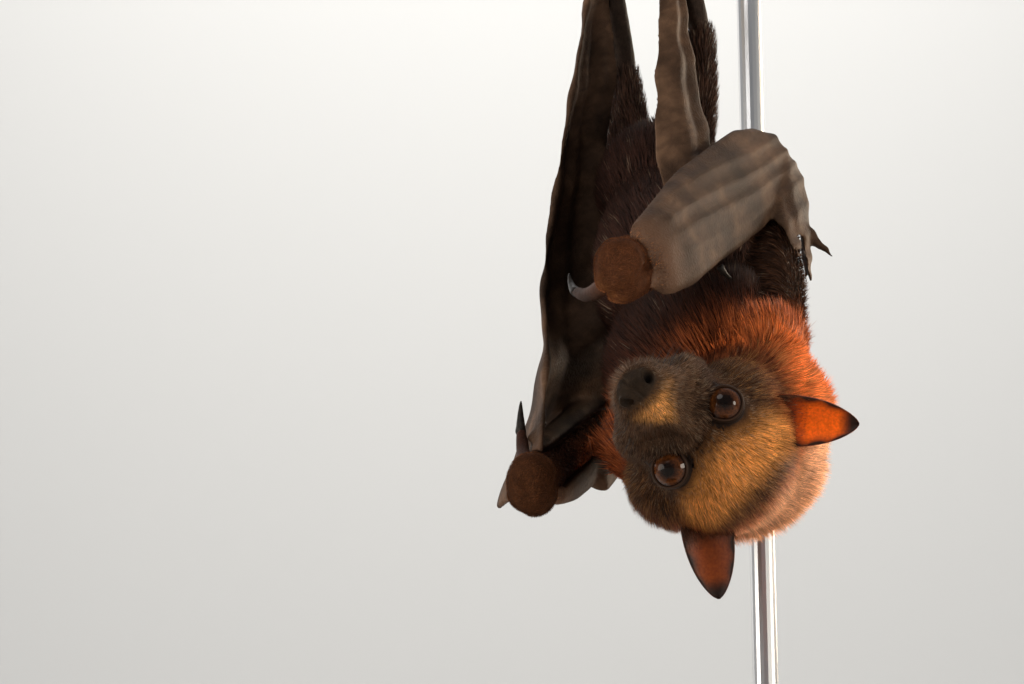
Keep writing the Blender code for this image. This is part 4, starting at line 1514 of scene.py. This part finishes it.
def finger_ridges(points, normals, side, on_fold):
    """Soft ridges over the finger bones, on the flat side of the folded hand."""
    along, outward_way = WING_LIES[side]
    across = np.cross(along, outward_way)
    away = (points - middle(f"wrist_{side}")) / MM
    reach, aside = away @ along, away @ across
    wander = 1.1 * np.sin(aside / 5.1 + 0.7) + 0.9 * np.sin(reach / 19.0 + aside / 9.0)
    ridge = (0.5 + 0.5 * np.cos(2 * np.pi * (aside + wander) / FINGER_APART)) ** 1.6 - 0.4
    shown = step(normals @ outward_way, 0.0, 0.6) * step(reach, 10, 35) * on_fold
    return points + normals * (MM * 0.5 * ridge * shown)[:, None]


def soft_folds(points, normals, side, on_fold):
    """Slow waves in the hanging skin, drawn out along the arm."""
    along, outward_way = WING_LIES[side]
    across = np.cross(along, outward_way)
    away = points / MM
    wave = np.sin((away @ across) / 3.1 + 0.8 * np.sin((away @ along) / 17.0))
    wave += 0.6 * np.sin((away @ across) / 1.7 + (away @ along) / 23.0)
    return points + normals * (MM * 0.35 * wave * (1 - on_fold))[:, None]


def wing(side):
    made = wrapped(f"wing_skin_{side}", [f"finger_fold_{side}", f"wing_web_{side}"], 0.7, 3, 0.2)
    points, _, edges = mesh_arrays(made.data)
    owner = nearest_parts(points, [f"finger_fold_{side}", f"wing_web_{side}"])
    on_fold = averaged(owner == 0, edges, 6)
    points = averaged(points, edges, 6)
    by_wrist = np.linalg.norm(points - middle(f"wrist_{side}"), axis=1) < 15 * MM
    points = tucked(points, edges, np.maximum(1 - on_fold, by_wrist))
    put_points(made.data, points)
    points, normals, edges = mesh_arrays(made.data)
    points = finger_ridges(points, normals, side, on_fold)
    points = soft_folds(points, normals, side, on_fold)
    put_points(made.data, points)
    near_wrist = np.linalg.norm(points - middle(f"wrist_{side}"), axis=1) / MM
    number(made, "Furred", 1 - step(near_wrist, 10, 26))
    return made


def wing_finish():
    material, shader = finish_of("bat_wing_bare_skin", Roughness=0.7, Specular_IOR_Level=0.07)
    place = node(material, "TexCoord").outputs["Object"]
    turned = node(material, "Mapping", {"Vector": place})
    along_arm = Vector(WING_LIES["right"][0])
    turned.inputs["Rotation"].default_value = along_arm.rotation_difference((1, 0, 0)).to_euler()
    drawn = node(material, "Mapping", {"Vector": turned.outputs["Vector"]})
    drawn.inputs["Scale"].default_value = (90.0, 380.0, 380.0)
    creases = noise(material, 1.0, 5.0, drawn.outputs["Vector"], Distortion=0.4)
    clouds = [(0.32, tone("#2b1f17")), (0.5, tone("#3f2e22")), (0.68, tone("#584232"))]
    colour = ramp(material, noise(material, 55.0, 4.0), clouds)
    streak = ramp(material, creases, [(0.38, (0.8,) * 3), (0.62, (1.15,) * 3)])
    bare = mixed(material, 1.0, colour, streak, "MULTIPLY")
    furry = (*FUR["cuff"], 1.0)
    coloured(material, shader, mixed(material, kept(material, "Furred"), bare, furry))
    pores = node(material, "TexVoronoi", {"Vector": place}, Scale=1400.0).outputs["Distance"]
    both = node(material, "Math", {"0": creases, "1": pores}, operation="ADD")
    relief(material, shader, both.outputs[0], 0.25 * MM, 0.6)
    return material


wing_skin = wing_finish()
for side in SIDES:
    sail = wing(side)
    dressed(sail, wing_skin, "wing_skin", f"finger_fold_{side}", f"wing_web_{side}")
    print("wing", side, triangles(sail), "triangles")
    near_wrist = np.linalg.norm(mesh_arrays(sail.data)[0] - middle(f"wrist_{side}"), axis=1) / MM
    # The wrist's tone, which the cuff hair takes near the wrist, is lightened as painted sunlight.
    colour = FUR["wrist"] + (FUR["cuff"] - FUR["wrist"]) * step(near_wrist, 9, 16)[:, None]
    tufts(
        f"coat_cuff_{side}", hair_bed(sail, -WING_LIES[side][0], 0.45, colour),
        1 - step(near_wrist, 9, 24), 5.0, 0.15, TRUNK,
        bends=0, long=3.0, lock=1.0, pale=0.03, root=0.8, seed=21,
    )

# %% [markdown]
# ## Claws
# Horn grows in a smooth curve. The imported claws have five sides, so a copy of each gets two rounds
# of subdivision, which turn it into a round tapering hook. Its foot is first let a millimetre into
# the flesh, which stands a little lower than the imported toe.


# %% Claws
def rounded_copy(name, members, levels, sunk):
    """Copies of these nodes as one smooth mesh, their feet let this far into the flesh."""
    tree = BVHTree.FromObject(skin, bpy.context.evaluated_depsgraph_get())

    def let_in(part):
        gaps = np.array([tree.find_nearest(vert.co)[3] for vert in part.verts])
        spots = np.array([vert.co[:] for vert in part.verts])
        foot = gaps < gaps.min() + 0.8 * MM
        inward = unit(spots[foot].mean(axis=0) - spots.mean(axis=0))
        for vert, in_foot in zip(part.verts, foot):
            if in_foot:
                vert.co += Vector(inward * sunk * MM)

    made = joined_copies(name, members, let_in)
    finer = made.modifiers.new("finer", "SUBSURF")
    finer.levels = finer.render_levels = levels
    return settled(made)


def horn_finish():
    material, shader = finish_of(
        "claw_grown_horn", Roughness=0.45, IOR=1.5, Specular_IOR_Level=0.12
    )
    layers = noise(material, 900.0, 3.0)
    horns = [(0.3, tone("#120f0d")), (0.7, tone("#241d18"))]
    coloured(material, shader, ramp(material, layers, horns))
    relief(material, shader, layers, 0.05 * MM, 0.5)
    return material


horn = horn_finish()
for side in SIDES:
    members = [f"thumb_claw_{side}", f"index_claw_{side}"]
    members += [f"toe_claw_{side}_{toe}" for toe in range(1, 6)]
    claws = rounded_copy(f"claws_{side}", members, 2, 1.0)
    dressed(claws, horn, "claw_horn", *members)
    print("claws", side, triangles(claws), "triangles")

# %% [markdown]
# ## Branch
# A cut piece of a smooth-barked tree, wrapped in an even mesh. Two numbers are kept for each
# point: how much it is on a sawn end, and how far it is from the middle of that end, from which
# the material draws the growth rings.


# %% Branch
PERCH_ALONG = unit((-0.77, 0.63, -0.05))


def mark_cuts(obj):
    """Tells the sawn ends from the bark, and how far each point is from the middle of its end."""
    points, normals, _ = mesh_arrays(obj.data)
    reach = points @ PERCH_ALONG
    cut = np.zeros(len(points))
    radius = np.zeros(len(points))
    for sign in (-1.0, 1.0):
        end = (sign * reach).max()
        face = step(sign * reach, end - 2.2 * MM, end - 1.0 * MM)
        face = face * step(sign * (normals @ PERCH_ALONG), 0.5, 0.8)
        centre = points[face > 0.5].mean(axis=0)
        away = points - centre
        away = away - (away @ PERCH_ALONG)[:, None] * PERCH_ALONG
        cut = np.maximum(cut, face)
        radius = np.where(sign * reach > end - 8 * MM, np.linalg.norm(away, axis=1) / MM, radius)
    number(obj, "Cut", cut)
    number(obj, "Radius", radius)


def branch_finish():
    material, shader = finish_of("branch_smooth_bark", Roughness=0.78, Specular_IOR_Level=0.3)
    patches = noise(material, 90.0, 5.0)
    barks = [(0.3, tone("#5c4a3c")), (0.5, tone("#857360")), (0.68, tone("#a89882"))]
    bark = ramp(material, patches, barks)
    radius = kept(material, "Radius")
    wavy = node(material, "Math", {"0": patches, "2": radius}, operation="MULTIPLY_ADD")
    wavy.inputs[1].default_value = 1.6
    turned = node(material, "Math", {"0": wavy.outputs[0]}, operation="MULTIPLY")
    turned.inputs[1].default_value = 2 * math.pi / 0.9  # a growth ring each 0.9 mm
    ringed = node(material, "Math", {"0": turned.outputs[0]}, operation="SINE")
    wood = ramp(material, ringed.outputs[0], [(0.1, tone("#c9a775")), (0.85, tone("#a37f50"))])
    coloured(material, shader, mixed(material, kept(material, "Cut"), bark, wood))
    relief(material, shader, noise(material, 700.0, 4.0), 0.3 * MM, 0.8)
    return material


branch = wrapped("branch_bark", ["perch_branch"], 0.9, 4, 0.0)
mark_cuts(branch)
dressed(branch, branch_finish(), "bark_wood", "perch_branch")
print("branch", triangles(branch), "triangles")

# %% [markdown]
# Young bark breathes through small raised corky dots, called lenticels. The node group that set
# the whiskers sets them too, this time as flat grains that stand straight on the bark.


# %% Lenticels
def cork_grain(name):
    bm = bmesh.new()
    bmesh.ops.create_icosphere(bm, subdivisions=2, radius=MM)
    bmesh.ops.scale(bm, vec=(0.45, 1.0, 0.28), verts=bm.verts)
    return object_of(name, bm)


cork = finish_of("lenticel_raised_cork", Roughness=0.85, Base_Color=solid("#b8a184"))[0]
points, normals, _ = mesh_arrays(branch.data)
barky = abs(normals @ PERCH_ALONG) < 0.6
along_branch = np.broadcast_to(PERCH_ALONG, points.shape)
lenticels = patch_of("lenticels", points, face_corners(branch), barky, along_branch)
scattered(
    lenticels, scatter, cork_grain("grain_shape"), cork, "bark_wood",
    Density=0.014e6, Smallest=0.35, Largest=0.9, Lean=0.0, Seed=9,
)

# %% [markdown]
# ## Stand
# The rod is drawn steel, brushed round its length. The base is planed hardwood under satin
# varnish: long grain lines of a millimetre or so, darker at the pores.


# %% Stand
def steel_finish():
    material, shader = finish_of(
        "rod_brushed_steel", Roughness=0.32, Metallic=1.0, Base_Color=solid("#b9babb")
    )
    lines = noise(material, 1.0, 2.0, stretched(material, (300.0, 300.0, 9000.0)))
    relief(material, shader, lines, 0.02 * MM, 0.5)
    return material


def wood_finish():
    material, shader = finish_of(
        "base_planed_walnut", Roughness=0.4, Coat_Weight=0.3, Coat_Roughness=0.2
    )
    lines = noise(material, 4.0, 6.0, stretched(material, (8.0, 90.0, 90.0)), Distortion=0.6)
    woods = [(0.3, tone("#3f2818")), (0.5, tone("#6b4629")), (0.7, tone("#8d623c"))]
    coloured(material, shader, ramp(material, lines, woods))
    relief(material, shader, lines, 0.1 * MM, 0.4)
    return material


give(nodes["stand_rod"], steel_finish())
give(nodes["stand_base"], wood_finish())
print("stand finished")

# %% [markdown]
# ## Floor and light
# A pale sweep stands behind and under the model and has a lamp of its own. The main light is warm
# and comes low from the viewer's right, with another warm lamp behind it for the tips of the hair.
# A paler lamp from above and a wide one low on the left fill the shadows, and one behind on the
# left parts the wing from the backdrop.


# %% Floor and light
def sweep():
    """A floor that curves up into a backdrop behind the model."""
    width, front, back, rise = 4.5, -3.6, 3.4, 3.4
    profile = [(front, 0.0), (back - 0.5, 0.0)]
    for turn in range(10, 91, 10):
        angle = math.radians(turn)
        profile.append((back - 0.5 + 0.5 * math.sin(angle), 0.5 - 0.5 * math.cos(angle)))
    profile.append((back, rise))
    points = [(x, y, z) for y, z in profile for x in (-width, width)]
    faces = [(2 * i, 2 * i + 1, 2 * i + 3, 2 * i + 2) for i in range(len(profile) - 1)]
    return piece_from("studio_sweep", points, faces)


def lamp(name, place, aim_at, size, power, colour):
    light = bpy.data.lights.new(name, "AREA")
    light.shape = "DISK"
    light.size = size
    light.energy = power
    light.color = colour
    made = bpy.data.objects.new(name, light)
    made.location = place
    made.rotation_euler = (Vector(aim_at) - Vector(place)).to_track_quat("-Z", "Y").to_euler()
    bpy.context.scene.collection.objects.link(made)


floor = sweep()
give(floor, finish_of("studio_paper", Roughness=0.9, Base_Color=(0.60, 0.595, 0.58, 1.0))[0])
target = (0.0, -0.03, 0.27)
lamp("key_lamp", (1.15, -0.55, 0.34), target, 0.45, 10.0, (1.0, 0.91, 0.78))
lamp("rim_lamp", (0.62, 0.70, 0.62), target, 0.5, 10.0, (1.0, 0.82, 0.62))
lamp("back_lamp", (-0.9, 1.0, 0.9), target, 1.2, 4.5, (1.0, 0.97, 0.93))
lamp("fill_lamp", (-0.55, -0.95, 1.15), target, 0.8, 7.0, (1.0, 0.96, 0.92))
lamp("left_lamp", (-1.05, -0.4, 0.12), target, 1.0, 12.0, (1.0, 0.92, 0.82))
lamp("backdrop_lamp", (0.0, 1.9, 2.9), (0.0, 3.4, 0.7), 2.4, 75.0, (1.0, 0.99, 0.97))
world = bpy.data.worlds.new("studio")
world.use_nodes = True
world.node_tree.nodes["Background"].inputs["Color"].default_value = (0.93, 0.95, 1.0, 1.0)
world.node_tree.nodes["Background"].inputs["Strength"].default_value = 0.32
bpy.context.scene.world = world
bpy.context.scene.view_settings.view_transform = "Standard"
print("stage set")
